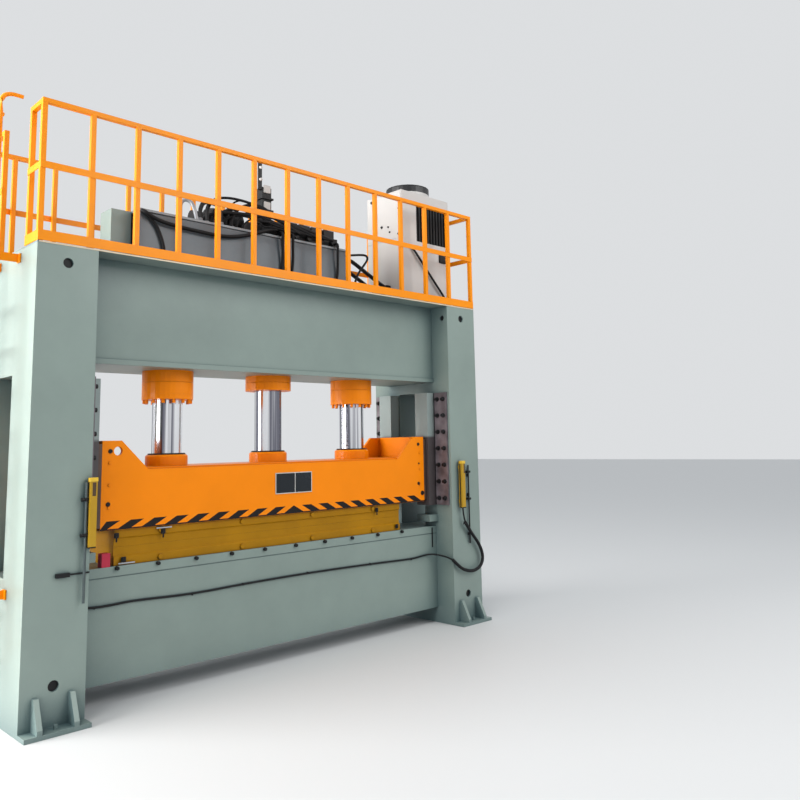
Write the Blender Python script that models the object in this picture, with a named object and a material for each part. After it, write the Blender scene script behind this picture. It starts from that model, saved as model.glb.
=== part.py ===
"""Straight-side hydraulic press: two welded box columns, a bed, one guided slide under three cylinders, and a deck.

Units are metres, +Z is up, +X runs along the bed and the working front faces -Y.
"""

import math

import bmesh
import bpy

# Driving sizes of the press
clear_span = 3.78
column_width = 0.435
column_depth = 1.14
column_height = 3.29
stroke = 0.38
seat_gap = 0.0003
weld_bite = 0.002
cut_overrun = 0.02
merge_distance = 0.00001

# Worked out from them, in press coordinates: X from the middle, Y from the column fronts, Z from under the feet
half_span = clear_span / 2
outer_x = half_span + column_width
middle_y = column_depth / 2

# Girder and bed
girder_inset = 0.231
girder_height = 0.805
girder_wall = 0.03
girder_lip = 0.01
girder_lip_height = 0.04
girder_bottom_z = column_height - girder_height
bed_bottom_z = 0.156
bed_height = 0.824
bed_top_z = bed_bottom_z + bed_height
bed_groove_depth = 0.006
bed_groove_height = 0.008
bed_groove_drop = 0.07
bed_bolt_radius = 0.012
bed_bolt_length = 0.02
bed_bolt_drop = 0.015
bed_bolt_count = 10

# Column windows, feet and lifting holes
window_front_y = 0.39
window_rear_y = column_depth - window_front_y
window_bottom_drop = 0.01
window_top_drop = 0.105
window_bottom_z = bed_top_z - window_bottom_drop
window_top_z = girder_bottom_z - window_top_drop
foot_reach = 0.12
foot_plate_thickness = 0.03
gusset_height = 0.205
gusset_thickness = 0.035
gusset_spacing = 0.24
gusset_top_depth = 0.03
anchor_bolt_radius = 0.014
anchor_bolt_height = 0.03
column_hole_radius = 0.037
column_hole_depth = 0.03
column_hole_top_drop = 0.122
column_hole_bottom_z = 0.288
side_hole_y = 0.077
side_hole_radius = 0.03

# Guides
rail_thickness = 0.13
rail_front_y = 0.2
rail_rear_y = 0.38
rail_rise = 0.22
rail_drop = 0.115
rail_bottom_z = bed_top_z + rail_rise
rail_top_z = girder_bottom_z - rail_drop
gib_thickness = 0.02
gib_front_y = 0.03
gib_bolt_radius = 0.015
gib_bolt_length = 0.018
gib_bolt_count = 7
gib_bolt_end_gap = 0.07
gib_bolt_shares = (0.25, 0.72)
wear_thickness = 0.0394
wear_height = 0.62
wear_rise = 0.02
stop_rise = 0.05
stop_height = 0.07
slide_half_length = half_span - rail_thickness - wear_thickness - 2 * seat_gap

# Tools
tool_left_inset = 0.12
tool_right_inset = 0.345
tool_left_x = -slide_half_length + tool_left_inset
tool_right_x = slide_half_length - tool_right_inset
tool_inset = 0.02
tool_step = 0.012
lower_tool_height = 0.135
upper_tool_height = 0.13
tool_foot_share = 0.45
tool_bolt_radius = 0.02
tool_bolt_length = 0.014
tool_bolt_count = 4
tool_front_y = girder_inset + tool_inset
tool_rear_y = column_depth - tool_front_y
lower_tool_bottom_z = bed_top_z + seat_gap
lower_tool_top_z = bed_top_z + lower_tool_height
upper_tool_bottom_z = lower_tool_top_z + seat_gap

# Slide
slide_skin = 0.03
slide_height = 0.455
slide_front_drop = 0.015
ear_rise = 0.208
ear_flat = 0.152
ear_slope = 0.22
ear_hole_radius = 0.034
ear_hole_inset = 0.125
ear_hole_drop = 0.078
tongue_length = 0.14
tongue_bottom_rise = 0.055
tongue_top_drop = 0.04
slide_screw_radius = 0.011
slide_screw_length = 0.008
slide_screw_inset = 0.06
slide_screw_count = 3
slide_bottom_z = lower_tool_top_z + upper_tool_height
slide_top_z = slide_bottom_z + slide_height
slide_front_top_z = slide_top_z - slide_front_drop
ear_top_z = slide_top_z + ear_rise

# Cylinders and rods
cylinder_spacing = 1.02
barrel_radius = 0.21
barrel_wall = 0.06
barrel_height = 0.811
middle_barrel_height = 0.724
barrel_cap = 0.05
barrel_drop = 0.196
groove_depth = 0.004
groove_half_height = 0.003
groove_rise = 0.1
middle_groove_rise = 0.05
gland_height = 0.043
middle_gland_height = 0.023
gland_bolt_radius = 0.014
gland_bolt_length = 0.032
gland_bolt_count = 14
gland_bolt_inset = 0.022
rod_step = 0.025
piston_height = 0.12
piston_top_gap = 0.05
flange_land = 0.0475
flange_height = 0.09
flange_chamfer = 0.012
bore_radius = barrel_radius - barrel_wall
rod_radius = bore_radius - rod_step
flange_radius = rod_radius + flange_land
barrel_top_z = girder_bottom_z - barrel_drop + barrel_height
piston_top_z = barrel_top_z - barrel_cap - piston_top_gap - stroke

# Deck, railings and ladder
deck_thickness = 0.012
deck_overhang = 0.23
deck_edge_height = 0.06
deck_edge_thickness = 0.01
deck_rib_spacing = 0.5
rail_height = 1.05
post_size = 0.036
post_bays = 13
rear_post_inset = 0.242
rear_post_pitch = 0.339
mid_rail_rise = 0.53
mid_rail_height = 0.05
toe_height = 0.075
toe_rise = 0.004
band_thickness = 0.006
band_bite = 0.002
left_return = 0.243
ladder_front_y = 0.34
ladder_width = 0.42
ladder_standoff = 0.175
stringer_width = 0.05
stringer_thickness = 0.012
rung_radius = 0.014
rung_pitch = 0.3
ladder_bottom_z = 0.32
hoop_rise = 1.15
hoop_radius = 0.016
hoop_bend = 0.075
hoop_bend_share = 0.3
bracket_height = 0.06
lower_bracket_z = 0.84
upper_bracket_drop = 0.09
deck_bottom_z = column_height + seat_gap
deck_top_z = deck_bottom_z + deck_thickness
deck_rear_y = column_depth + deck_overhang
stand_z = deck_top_z + seat_gap
rail_centre = outer_x - post_size / 2

# Hydraulic set on the deck
tank_left_x = -1.395
tank_length = 2.22
tank_right_x = tank_left_x + tank_length
tank_front_y = 0.38
tank_rear_y = 0.88
tank_height = 0.478
lid_overhang = 0.014
lid_thickness = 0.02
motor_radius = 0.11
motor_length = 0.34
motor_foot = 0.03
motor_foot_inset_share = 0.15
motor_foot_width_share = 0.7
motor_rest_share = 0.98
motor_rear_gap = 0.14
motor_insets = (0.82, 1.42)
fin_count = 4
fin_height = 0.007
fin_start_share = 0.12
fin_zone_share = 0.7
fin_share = 0.5
pump_radius = 0.06
pump_length = 0.16
manifold_inset = 1.36
manifold_length = 0.765
manifold_front_gap = 0.04
manifold_depth = 0.19
manifold_height = 0.1
valve_count = 5
valve_width = 0.13
valve_height = 0.09
short_valve_share = 0.6
solenoid_radius = 0.03
solenoid_length = 0.04
stack_inset = 1.22
stack_width = 0.1
stack_height = 0.46
stack_step_count = 3
stack_step = 0.016
hose_radius = 0.02
hose_insets = (0.585, 0.68, 0.79)
hose_reaches = (0.2, 0.25, 0.13)
hose_rises = (0.2, 0.24, 0.16)
hose_front_gap = 0.06
hose_pitch = 0.05
hose_route_shares = (
    (0, 0), (0, 0.2), (0, 0.4), (0, 0.6), (0.15, 0.92), (0.5, 1), (0.85, 0.92), (1, 0.6), (1, 0.4), (1, 0.2), (1, 0),
)
filler_radius = 0.035
filler_height = 0.07
cupboard_gap = 0.02
cupboard_length = 0.17
cupboard_front_y = 0.5
cupboard_depth = 0.2
cupboard_height = 0.49
tank_top_z = stand_z + tank_height
lid_bottom_z = tank_top_z + seat_gap
lid_top_z = lid_bottom_z + lid_thickness
set_z = lid_top_z + seat_gap

# Chiller and its pipes
chiller_end_gap = 0.135
chiller_length = 0.735
chiller_right_x = outer_x - chiller_end_gap
chiller_left_x = chiller_right_x - chiller_length
chiller_front_y = 0.22
chiller_rear_y = 0.76
chiller_height = 1.24
grille_recess = 0.025
grille_left_inset = 0.223
grille_right_inset = 0.04
grille_height = 0.44
grille_top_drop = 0.095
grille_frame = 0.014
slat_count = 9
slat_share = 0.45
grille_back = 0.006
shroud_radius = 0.24
shroud_wall = 0.012
shroud_height = 0.11
guard_height = 0.01
guard_ring_count = 3
guard_ring_width = 0.009
guard_spoke_count = 8
guard_spoke_share = 0.8
fan_hub_radius = 0.05
fan_hub_height = 0.05
fan_blade_count = 5
fan_blade_thickness = 0.006
fan_blade_root_share = 0.6
fan_blade_root_width = 0.06
fan_blade_tip_width = 0.11
fan_tip_gap = 0.02
fan_pitch_deg = 24
fan_rise = 0.03
fan_shaft_radius = 0.012
pipe_front_gap = 0.04
pipe_pitch = 0.08
pipe_start_rise = 0.4
pipe_drop = 0.2
pipe_route_shares = ((0, 0), (0.08, 0), (0.16, 0), (0.5, 0.5), (0.84, 1), (0.92, 1), (1, 1))
chiller_x = (chiller_left_x + chiller_right_x) / 2
chiller_y = (chiller_front_y + chiller_rear_y) / 2
chiller_top_z = stand_z + chiller_height

# Guards, plates and fittings on the front
curtain_width = 0.05
curtain_depth = 0.045
curtain_standoff = 0.02
curtain_bottom_z = 1.17
curtain_top_z = 1.648
curtain_bracket_height = 0.03
left_curtain_inset = 0.01
right_curtain_inset = 0.12
curtain_rod_inset = 0.245
curtain_rod_radius = 0.008
curtain_rod_bottom_z = 0.795
curtain_rod_top_z = 1.602
curtain_rod_foot_width = 0.024
curtain_rod_foot_shares = (0.1, 0.6, 0.85)
plate_left_x = -0.15
plate_right_x = 0.237
plate_rise = 0.185
plate_height = 0.17
plate_split = 0.008
plate_thickness = 0.004
end_block_inset = 0.02
end_block_width = 0.065
end_block_height = 0.1
oiler_inset = 0.232
oiler_z = 1.0
oiler_width = 0.09
oiler_height = 0.028
oiler_tube_length = 0.14
oiler_tube_radius = 0.006
cable_radius = 0.008
cable_gap = 0.0006
cable_bed_shares = (-0.9905, -0.9312, -0.8466, -0.7672, -0.5132, -0.2646, 0.0952, 0.4921, 0.7937, 0.8413)
cable_bed_heights = (0.72, 0.706, 0.707, 0.715, 0.692, 0.705, 0.71, 0.699, 0.683, 0.689)
cable_loop = (
    (-0.22, 0.2212, 0.697), (-0.15, 0.213, 0.703), (-0.08, 0.175, 0.7), (-0.035, 0.08, 0.68), (-0.025, -0.01, 0.655),
    (0.01, -0.035, 0.61), (0.095, -0.045, 0.545), (0.251, -0.045, 0.507), (0.38, -0.045, 0.547),
    (0.42, -0.045, 0.648), (0.36, -0.045, 0.779), (0.24, -0.045, 0.9), (0.145, -0.045, 1.02),
    (0.122, -0.0425, 1.12), (0.12, -0.0425, 1.1695),
)

# Facets and steps of round things
round_sides = 32
guard_sides = 24
small_round_sides = 14
rung_sides = 8
bolt_sides = 6
cord_sides = 1
cord_steps = 3
cable_steps = 2

orange = (0.95, 0.29, 0.0, 1.0)
railing_orange = (0.95, 0.33, 0.01, 1.0)
frame_green = (0.36, 0.43, 0.4, 1.0)
mustard = (0.46, 0.24, 0.0, 1.0)
steel = (0.33, 0.33, 0.36, 1.0)
chrome = (0.8, 0.8, 0.82, 1.0)
black = (0.02, 0.02, 0.025, 1.0)
tank_grey = (0.12, 0.14, 0.16, 1.0)
white = (0.8, 0.78, 0.74, 1.0)
bronze = (0.5, 0.33, 0.12, 1.0)
curtain_yellow = (0.65, 0.45, 0.03, 1.0)
red = (0.5, 0.02, 0.05, 1.0)


def start_scene():
    """Clear the file and make the collection that holds the press."""
    for item in list(bpy.data.objects):
        bpy.data.objects.remove(item, do_unlink=True)
    home = bpy.data.collections.new("hydraulic_press")
    bpy.context.scene.collection.children.link(home)
    return home


press = start_scene()


def mesh_object(name, bm):
    """Turn a bmesh into an object in the press collection."""
    bm.normal_update()
    bmesh.ops.recalc_face_normals(bm, faces=bm.faces)
    mesh = bpy.data.meshes.new(name)
    bm.to_mesh(mesh)
    bm.free()
    item = bpy.data.objects.new(name, mesh)
    press.objects.link(item)
    return item


def box(name, low, high):
    """A box between two corners."""
    bm = bmesh.new()
    bmesh.ops.create_cube(bm, size=1.0)
    for vert in bm.verts:
        for axis in range(3):
            vert.co[axis] = high[axis] if vert.co[axis] > 0 else low[axis]
    return mesh_object(name, bm)


def rod_between(name, start, axis, length, radius, sides):
    """A round bar from a point, along X, Y or Z."""
    bm = bmesh.new()
    bmesh.ops.create_cone(bm, cap_ends=True, segments=sides, radius1=radius, radius2=radius, depth=length)
    for vert in bm.verts:
        x, y, z = vert.co
        z += length / 2
        turned_to = {"x": (z, x, y), "y": (y, z, x), "z": (x, y, z)}[axis]
        vert.co = [turned_to[i] + start[i] for i in range(3)]
    return mesh_object(name, bm)


def prism(name, points, axis, low, high):
    """A flat outline carried along X or Y."""
    bm = bmesh.new()
    place = {"x": lambda u, v, w: (w, u, v), "y": lambda u, v, w: (u, w, v)}[axis]
    face = bm.faces.new([bm.verts.new(place(u, v, low)) for u, v in points])
    carried = bmesh.ops.extrude_face_region(bm, geom=[face])["geom"]
    shift = place(0, 0, high - low)
    bmesh.ops.translate(bm, vec=shift, verts=[g for g in carried if isinstance(g, bmesh.types.BMVert)])
    return mesh_object(name, bm)


def turned(name, profile, centre, sides):
    """A ring or cup turned about a vertical line from a closed profile of (radius, height)."""
    bm = bmesh.new()
    verts = [bm.verts.new((radius, 0, height)) for radius, height in profile]
    edges = [bm.edges.new((verts[i], verts[(i + 1) % len(verts)])) for i in range(len(verts))]
    bmesh.ops.spin(
        bm, geom=verts + edges, cent=(0, 0, 0), axis=(0, 0, 1), angle=math.tau, steps=sides, use_merge=True,
    )
    bmesh.ops.remove_doubles(bm, verts=bm.verts, dist=merge_distance)
    loose = [edge for edge in bm.edges if len(edge.link_faces) == 0]
    bmesh.ops.delete(bm, geom=loose, context="EDGES")
    bmesh.ops.translate(bm, vec=centre, verts=bm.verts)
    return mesh_object(name, bm)


def smooth_route(points, steps):
    """Points along a smooth curve through the given ones."""
    route = []
    for i in range(len(points) - 1):
        before = points[max(i - 1, 0)]
        here = points[i]
        after = points[i + 1]
        beyond = points[min(i + 2, len(points) - 1)]
        for k in range(steps):
            t = k / steps
            route.append([
                0.5 * (2 * here[n] + (after[n] - before[n]) * t
                       + (2 * before[n] - 5 * here[n] + 4 * after[n] - beyond[n]) * t * t
                       + (3 * here[n] - before[n] - 3 * after[n] + beyond[n]) * t ** 3)
                for n in range(3)
            ])
    route.append(list(points[-1]))
    return route


def tube(name, points, radius, steps):
    """A round tube along a smooth route, with closed ends."""
    curve = bpy.data.curves.new(name, "CURVE")
    curve.dimensions = "3D"
    curve.bevel_depth = radius
    curve.bevel_resolution = cord_sides
    curve.use_fill_caps = True
    route = smooth_route(points, steps)
    spline = curve.splines.new("POLY")
    spline.points.add(len(route) - 1)
    for point, place in zip(spline.points, route):
        point.co = (*place, 1)
    drawn = bpy.data.objects.new(name + "_line", curve)
    press.objects.link(drawn)
    bpy.context.view_layer.update()
    mesh = bpy.data.meshes.new_from_object(drawn.evaluated_get(bpy.context.evaluated_depsgraph_get()))
    bpy.data.objects.remove(drawn, do_unlink=True)
    bm = bmesh.new()
    bm.from_mesh(mesh)
    bmesh.ops.remove_doubles(bm, verts=bm.verts, dist=merge_distance)
    return mesh_object(name, bm)


def combine(base, others, operation):
    """Join pieces to, or cut pieces from, the base, one after another."""
    for other in others:
        change = base.modifiers.new(operation.lower(), "BOOLEAN")
        change.operation = operation
        change.solver = "EXACT"
        change.object = other
        bpy.context.view_layer.update()
        mesh = bpy.data.meshes.new_from_object(base.evaluated_get(bpy.context.evaluated_depsgraph_get()))
        base.modifiers.clear()
        base.data = mesh
        bpy.data.objects.remove(other, do_unlink=True)
    return base


def weld(base, others):
    """One piece from overlapping ones."""
    return combine(base, others, "UNION")


def cut(base, others):
    """The base with the other shapes taken out."""
    return combine(base, others, "DIFFERENCE")


def finish(item, name, colour, metallic, roughness, smooth=False):
    """Name a piece and give it its own material."""
    item.name = name
    item.data.name = name
    material = bpy.data.materials.new(name)
    material.use_nodes = True
    shader = material.node_tree.nodes["Principled BSDF"]
    shader.inputs["Base Color"].default_value = colour
    shader.inputs["Metallic"].default_value = metallic
    shader.inputs["Roughness"].default_value = roughness
    material.diffuse_color = colour
    item.data.materials.clear()
    item.data.materials.append(material)
    if smooth:
        item.data.shade_smooth()
    return item


def mirrored_span(side, near, far):
    """Low and high X of something between two distances from the middle, on the left (-1) or right (1)."""
    return (near, far) if side > 0 else (-far, -near)


def make_column(name, side):
    """A welded box column with a window, lifting holes, and feet with gussets."""
    low_x, high_x = mirrored_span(side, half_span, outer_x)
    centre_x = (low_x + high_x) / 2
    column = box(name, (low_x, 0, 0), (high_x, column_depth, column_height))
    cuts = []
    for hole_z in (column_height - column_hole_top_drop, column_hole_bottom_z):
        start = (centre_x, -cut_overrun, hole_z)
        length = column_hole_depth + cut_overrun
        cuts.append(rod_between("hole", start, "y", length, column_hole_radius, small_round_sides))
    inner_x = half_span - cut_overrun if side > 0 else -half_span - column_hole_depth
    start = (inner_x, side_hole_y, column_height - column_hole_top_drop)
    length = column_hole_depth + cut_overrun
    cuts.append(rod_between("hole", start, "x", length, side_hole_radius, small_round_sides))
    window_low = (low_x - cut_overrun, window_front_y, window_bottom_z)
    window_high = (high_x + cut_overrun, window_rear_y, window_top_z)
    cuts.append(box("window", window_low, window_high))
    cut(column, cuts)
    pieces = []
    for front in (True, False):
        face_y = 0 if front else column_depth
        tip_y = -foot_reach if front else column_depth + foot_reach
        root_y = weld_bite if front else column_depth - weld_bite
        knee_y = -gusset_top_depth if front else column_depth + gusset_top_depth
        nose_y = tip_y + weld_bite if front else tip_y - weld_bite
        plate_low = (low_x, min(root_y, tip_y), 0)
        plate_high = (high_x, max(root_y, tip_y), foot_plate_thickness)
        pieces.append(box("foot", plate_low, plate_high))
        for hand in (-1, 1):
            mid = centre_x + hand * gusset_spacing / 2
            base_z = foot_plate_thickness - weld_bite
            crown_z = foot_plate_thickness + gusset_height
            outline = [
                (root_y, base_z), (nose_y, base_z), (nose_y, foot_plate_thickness * 2), (knee_y, crown_z),
                (root_y, crown_z),
            ]
            pieces.append(prism("gusset", outline, "x", mid - gusset_thickness / 2, mid + gusset_thickness / 2))
        bolt_length = foot_plate_thickness + anchor_bolt_height - weld_bite
        start = (centre_x, (face_y + tip_y) / 2, weld_bite)
        pieces.append(rod_between("anchor", start, "z", bolt_length, anchor_bolt_radius, bolt_sides))
    weld(column, pieces)
    return finish(column, name, frame_green, 0.0, 0.5)


def make_girder():
    """The hollow top girder: three bays, each with a bored floor that holds a cylinder."""
    reach = half_span - seat_gap
    rear = column_depth - girder_inset
    girder = box("girder", (-reach, girder_inset, girder_bottom_z), (reach, rear, column_height))
    lip_low = (-reach + seat_gap, girder_inset - girder_lip, girder_bottom_z + seat_gap)
    lip_high = (reach - seat_gap, rear + girder_lip, girder_bottom_z + girder_lip_height)
    weld(girder, [box("lip", lip_low, lip_high)])
    cuts = []
    for step in (-1, 0, 1):
        inner = cylinder_spacing / 2 - girder_wall / 2
        low_x = -reach + girder_wall if step < 0 else step * cylinder_spacing - inner
        high_x = reach - girder_wall if step > 0 else step * cylinder_spacing + inner
        low = (low_x, girder_inset + girder_wall, girder_bottom_z + girder_lip_height)
        high = (high_x, rear - girder_wall, column_height - girder_wall)
        cuts.append(box("bay", low, high))
        start = (step * cylinder_spacing, middle_y, girder_bottom_z - cut_overrun)
        length = girder_lip_height + 2 * cut_overrun
        cuts.append(rod_between("bore", start, "z", length, barrel_radius + 2 * seat_gap, round_sides))
    cut(girder, cuts)
    return finish(girder, "crosshead", frame_green, 0.0, 0.5)


def make_bed():
    """The bed beam, with a row of screws under the lower tool and a shallow joint line of its top plate."""
    reach = half_span - seat_gap
    rear = column_depth - girder_inset
    bed = box("bed", (-reach, girder_inset, bed_bottom_z), (reach, rear, bed_top_z))
    groove_top = bed_top_z - bed_groove_drop
    low = (-reach - cut_overrun, girder_inset - cut_overrun, groove_top - bed_groove_height)
    high = (reach + cut_overrun, girder_inset + bed_groove_depth, groove_top)
    cut(bed, [box("groove", low, high)])
    pitch = (tool_right_x - tool_left_x - bed_bolt_drop) / (bed_bolt_count - 1)
    bolts = []
    for i in range(bed_bolt_count):
        start = (tool_left_x + i * pitch + bed_bolt_drop, girder_inset - bed_bolt_length, bed_top_z - bed_bolt_drop)
        length = bed_bolt_length + weld_bite
        bolts.append(rod_between("bolt", start, "y", length, bed_bolt_radius, bolt_sides))
    weld(bed, bolts)
    return finish(bed, "bed", frame_green, 0.0, 0.5)


def make_tools():
    """The lower and upper tool blocks, each with a wider foot and its clamp screws, closed on each other."""
    tools = []
    lower_knee = lower_tool_bottom_z + lower_tool_height * tool_foot_share
    upper_knee = slide_bottom_z - upper_tool_height * tool_foot_share
    shapes = {
        "lower_tool": [
            (tool_front_y, lower_tool_bottom_z), (tool_rear_y, lower_tool_bottom_z), (tool_rear_y, lower_knee),
            (tool_rear_y - tool_step, lower_knee + tool_step), (tool_rear_y - tool_step, lower_tool_top_z),
            (tool_front_y + tool_step, lower_tool_top_z), (tool_front_y + tool_step, lower_knee + tool_step),
            (tool_front_y, lower_knee),
        ],
        "upper_tool": [
            (tool_front_y + tool_step, upper_tool_bottom_z), (tool_rear_y - tool_step, upper_tool_bottom_z),
            (tool_rear_y - tool_step, upper_knee - tool_step), (tool_rear_y, upper_knee),
            (tool_rear_y, slide_bottom_z - seat_gap), (tool_front_y, slide_bottom_z - seat_gap),
            (tool_front_y, upper_knee), (tool_front_y + tool_step, upper_knee - tool_step),
        ],
    }
    for name, outline in shapes.items():
        tool = prism(name, outline, "x", tool_left_x, tool_right_x)
        middle_z = (lower_tool_bottom_z + lower_knee) / 2 if name == "lower_tool" else (slide_bottom_z + upper_knee) / 2
        pitch = (tool_right_x - tool_left_x) / tool_bolt_count
        screws = []
        for i in range(tool_bolt_count):
            start = (tool_left_x + (i + 0.5) * pitch, tool_front_y - tool_bolt_length, middle_z)
            length = tool_bolt_length + weld_bite
            screws.append(rod_between("screw", start, "y", length, tool_bolt_radius, bolt_sides))
        weld(tool, screws)
        tools.append(finish(tool, name, mustard, 0.0, 0.45))
    return tools


def make_slide():
    """The slide: a box beam between two eared plates and two end plates, with tongues that run between the rails."""
    front = girder_inset
    rear = column_depth - girder_inset
    half = slide_half_length
    inner = half - ear_flat
    outline = [
        (-half, slide_bottom_z), (half, slide_bottom_z), (half, ear_top_z), (inner, ear_top_z),
        (inner - ear_slope, slide_front_top_z), (-inner + ear_slope, slide_front_top_z), (-inner, ear_top_z),
        (-half, ear_top_z),
    ]
    slide = prism("slide", outline, "y", front, front + slide_skin)
    body_low = (-half + seat_gap, front + slide_skin - weld_bite, slide_bottom_z + seat_gap)
    body_high = (half - seat_gap, rear - slide_skin + weld_bite, slide_top_z)
    pieces = [
        box("body", body_low, body_high),
        prism("rear_plate", outline, "y", rear - slide_skin, rear),
    ]
    for side in (-1, 1):
        low_x, high_x = mirrored_span(side, half - slide_skin, half - 2 * seat_gap)
        low = (low_x, front + slide_skin - weld_bite, slide_bottom_z + 2 * seat_gap)
        high = (high_x, rear - slide_skin + weld_bite, ear_top_z - seat_gap)
        pieces.append(box("end_plate", low, high))
        low_x, high_x = mirrored_span(side, half - slide_skin - weld_bite, half + tongue_length)
        low = (low_x, rail_rear_y + 2 * seat_gap, slide_bottom_z + tongue_bottom_rise)
        high = (high_x, column_depth - rail_rear_y - 2 * seat_gap, slide_top_z - tongue_top_drop)
        pieces.append(box("tongue", low, high))
        for step in range(slide_screw_count):
            z = slide_bottom_z + (ear_top_z - slide_bottom_z) * (step + 1) / (slide_screw_count + 1)
            start = (side * (half - slide_screw_inset), front - slide_screw_length, z)
            length = slide_screw_length + weld_bite
            pieces.append(rod_between("screw", start, "y", length, slide_screw_radius, bolt_sides))
    weld(slide, pieces)
    cuts = []
    for near in (front - cut_overrun, rear - slide_skin - cut_overrun):
        start = (-half + ear_hole_inset, near, ear_top_z - ear_hole_drop)
        length = slide_skin + 2 * cut_overrun
        cuts.append(rod_between("ear_hole", start, "y", length, ear_hole_radius, small_round_sides))
    cut(slide, cuts)
    return finish(slide, "slide_beam", orange, 0.0, 0.35)


def make_cylinder(number):
    """One barrel with its gland ring, the rod with its piston, and the rod's flange on the slide."""
    x = (number - 2) * cylinder_spacing
    centre = (x, middle_y, 0)
    middle = number == 2
    bottom = barrel_top_z - (middle_barrel_height if middle else barrel_height)
    ring_z = bottom + (middle_groove_rise if middle else groove_rise)
    inner_top = barrel_top_z - barrel_cap
    profile = [
        (0, inner_top), (bore_radius, inner_top), (bore_radius, bottom), (barrel_radius, bottom),
        (barrel_radius, ring_z - groove_half_height), (barrel_radius - groove_depth, ring_z),
        (barrel_radius, ring_z + groove_half_height), (barrel_radius, barrel_top_z), (0, barrel_top_z),
    ]
    barrel = turned("barrel", profile, centre, round_sides)
    finish(barrel, f"cylinder_barrel_{number}", orange, 0.0, 0.3, True)

    height = middle_gland_height if middle else gland_height
    top = bottom - seat_gap
    hole = rod_radius + seat_gap
    profile = [(hole, top), (hole, top - height), (barrel_radius, top - height), (barrel_radius, top)]
    gland = turned("gland", profile, centre, round_sides)
    if not middle:
        bolts = []
        for i in range(gland_bolt_count):
            angle = math.tau * i / gland_bolt_count
            reach = barrel_radius - gland_bolt_inset
            start = (x + reach * math.cos(angle), middle_y + reach * math.sin(angle), top - height - gland_bolt_length)
            length = gland_bolt_length + weld_bite
            bolts.append(rod_between("bolt", start, "z", length, gland_bolt_radius, bolt_sides))
        weld(gland, bolts)
    finish(gland, f"gland_ring_{number}", orange, 0.0, 0.35)

    foot = slide_top_z + seat_gap
    profile = [
        (0, foot), (rod_radius, foot), (rod_radius, piston_top_z - piston_height),
        (bore_radius - seat_gap, piston_top_z - piston_height), (bore_radius - seat_gap, piston_top_z),
        (0, piston_top_z),
    ]
    rod = turned("rod", profile, centre, round_sides)
    finish(rod, f"piston_rod_{number}", chrome, 1.0, 0.08, True)

    hole = rod_radius + seat_gap
    profile = [
        (hole, foot), (flange_radius, foot), (flange_radius, foot + flange_height - flange_chamfer),
        (flange_radius - flange_chamfer, foot + flange_height), (hole, foot + flange_height),
    ]
    flange = turned("flange", profile, centre, round_sides)
    finish(flange, f"rod_flange_{number}", orange, 0.0, 0.35)


def make_guides():
    """At each corner of the slide: a rail with its bolted flange on the column, and a wear plate on the slide."""
    for side, side_name in ((-1, "left"), (1, "right")):
        for front, end_name in ((True, "front"), (False, "rear")):
            tag = f"{side_name}_{end_name}"

            def span_y(near, far):
                return (near, far) if front else (column_depth - far, column_depth - near)

            low_y, high_y = span_y(rail_front_y, rail_rear_y)
            low_x, high_x = mirrored_span(side, half_span - rail_thickness, half_span - seat_gap)
            rail = box("rail", (low_x, low_y, rail_bottom_z), (high_x, high_y, rail_top_z))
            low_y, high_y = span_y(gib_front_y, rail_front_y + weld_bite)
            low_x, high_x = mirrored_span(side, half_span - gib_thickness, half_span - 2 * seat_gap)
            low = (low_x, low_y, rail_bottom_z + seat_gap)
            high = (high_x, high_y, rail_top_z - seat_gap)
            pieces = [box("gib", low, high)]
            pitch = (rail_top_z - rail_bottom_z - 2 * gib_bolt_end_gap) / (gib_bolt_count - 1)
            for i in range(gib_bolt_count):
                for share in gib_bolt_shares:
                    start_x = low_x - gib_bolt_length if side > 0 else high_x - weld_bite
                    bolt_z = rail_bottom_z + gib_bolt_end_gap + i * pitch
                    start = (start_x, low_y + (high_y - low_y) * share, bolt_z)
                    length = gib_bolt_length + weld_bite
                    pieces.append(rod_between("bolt", start, "x", length, gib_bolt_radius, bolt_sides))
            weld(rail, pieces)
            finish(rail, f"guide_rail_{tag}", steel, 0.8, 0.4)

            low_y, high_y = span_y(girder_inset, rail_rear_y)
            low_x, high_x = mirrored_span(
                side, slide_half_length + seat_gap, half_span - rail_thickness - seat_gap,
            )
            low = (low_x, low_y, slide_bottom_z + wear_rise)
            high = (high_x, high_y, slide_bottom_z + wear_rise + wear_height)
            finish(box("wear", low, high), f"wear_plate_{tag}", bronze, 0.6, 0.45)

        low_x, high_x = mirrored_span(side, half_span - rail_thickness, half_span - seat_gap)
        low = (low_x, rail_front_y, bed_top_z + stop_rise)
        high = (high_x, rail_rear_y, bed_top_z + stop_rise + stop_height)
        finish(box("stop", low, high), f"stop_block_{side_name}", frame_green, 0.0, 0.5)


def post_line(name, axis, fixed, start, end, posts, outward):
    """A length of railing along X or Y: square posts, a square top rail, a flat middle band and a toe band.

    fixed is the post line's place on the other axis, and outward is -1 or 1, the side that the bands are on.
    """
    half = post_size / 2

    def corner(along, across, z):
        return (along, across, z) if axis == "x" else (across, along, z)

    top = stand_z + rail_height
    rail = box(name, corner(start, fixed - half, top - post_size), corner(end, fixed + half, top))
    pieces = []
    for place in posts:
        low = corner(place - half, fixed - half + seat_gap, stand_z)
        high = corner(place + half, fixed + half - seat_gap, top - weld_bite)
        pieces.append(box("post", low, high))
    face = fixed + outward * half
    near, far = sorted((face - outward * band_bite, face + outward * (band_thickness - band_bite)))
    for bottom, height in ((toe_rise, toe_height), (mid_rail_rise, mid_rail_height)):
        low = corner(start, near, stand_z + bottom)
        high = corner(end, far, stand_z + bottom + height)
        pieces.append(box("band", low, high))
    weld(rail, pieces)
    return finish(rail, name, railing_orange, 0.0, 0.4)


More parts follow.
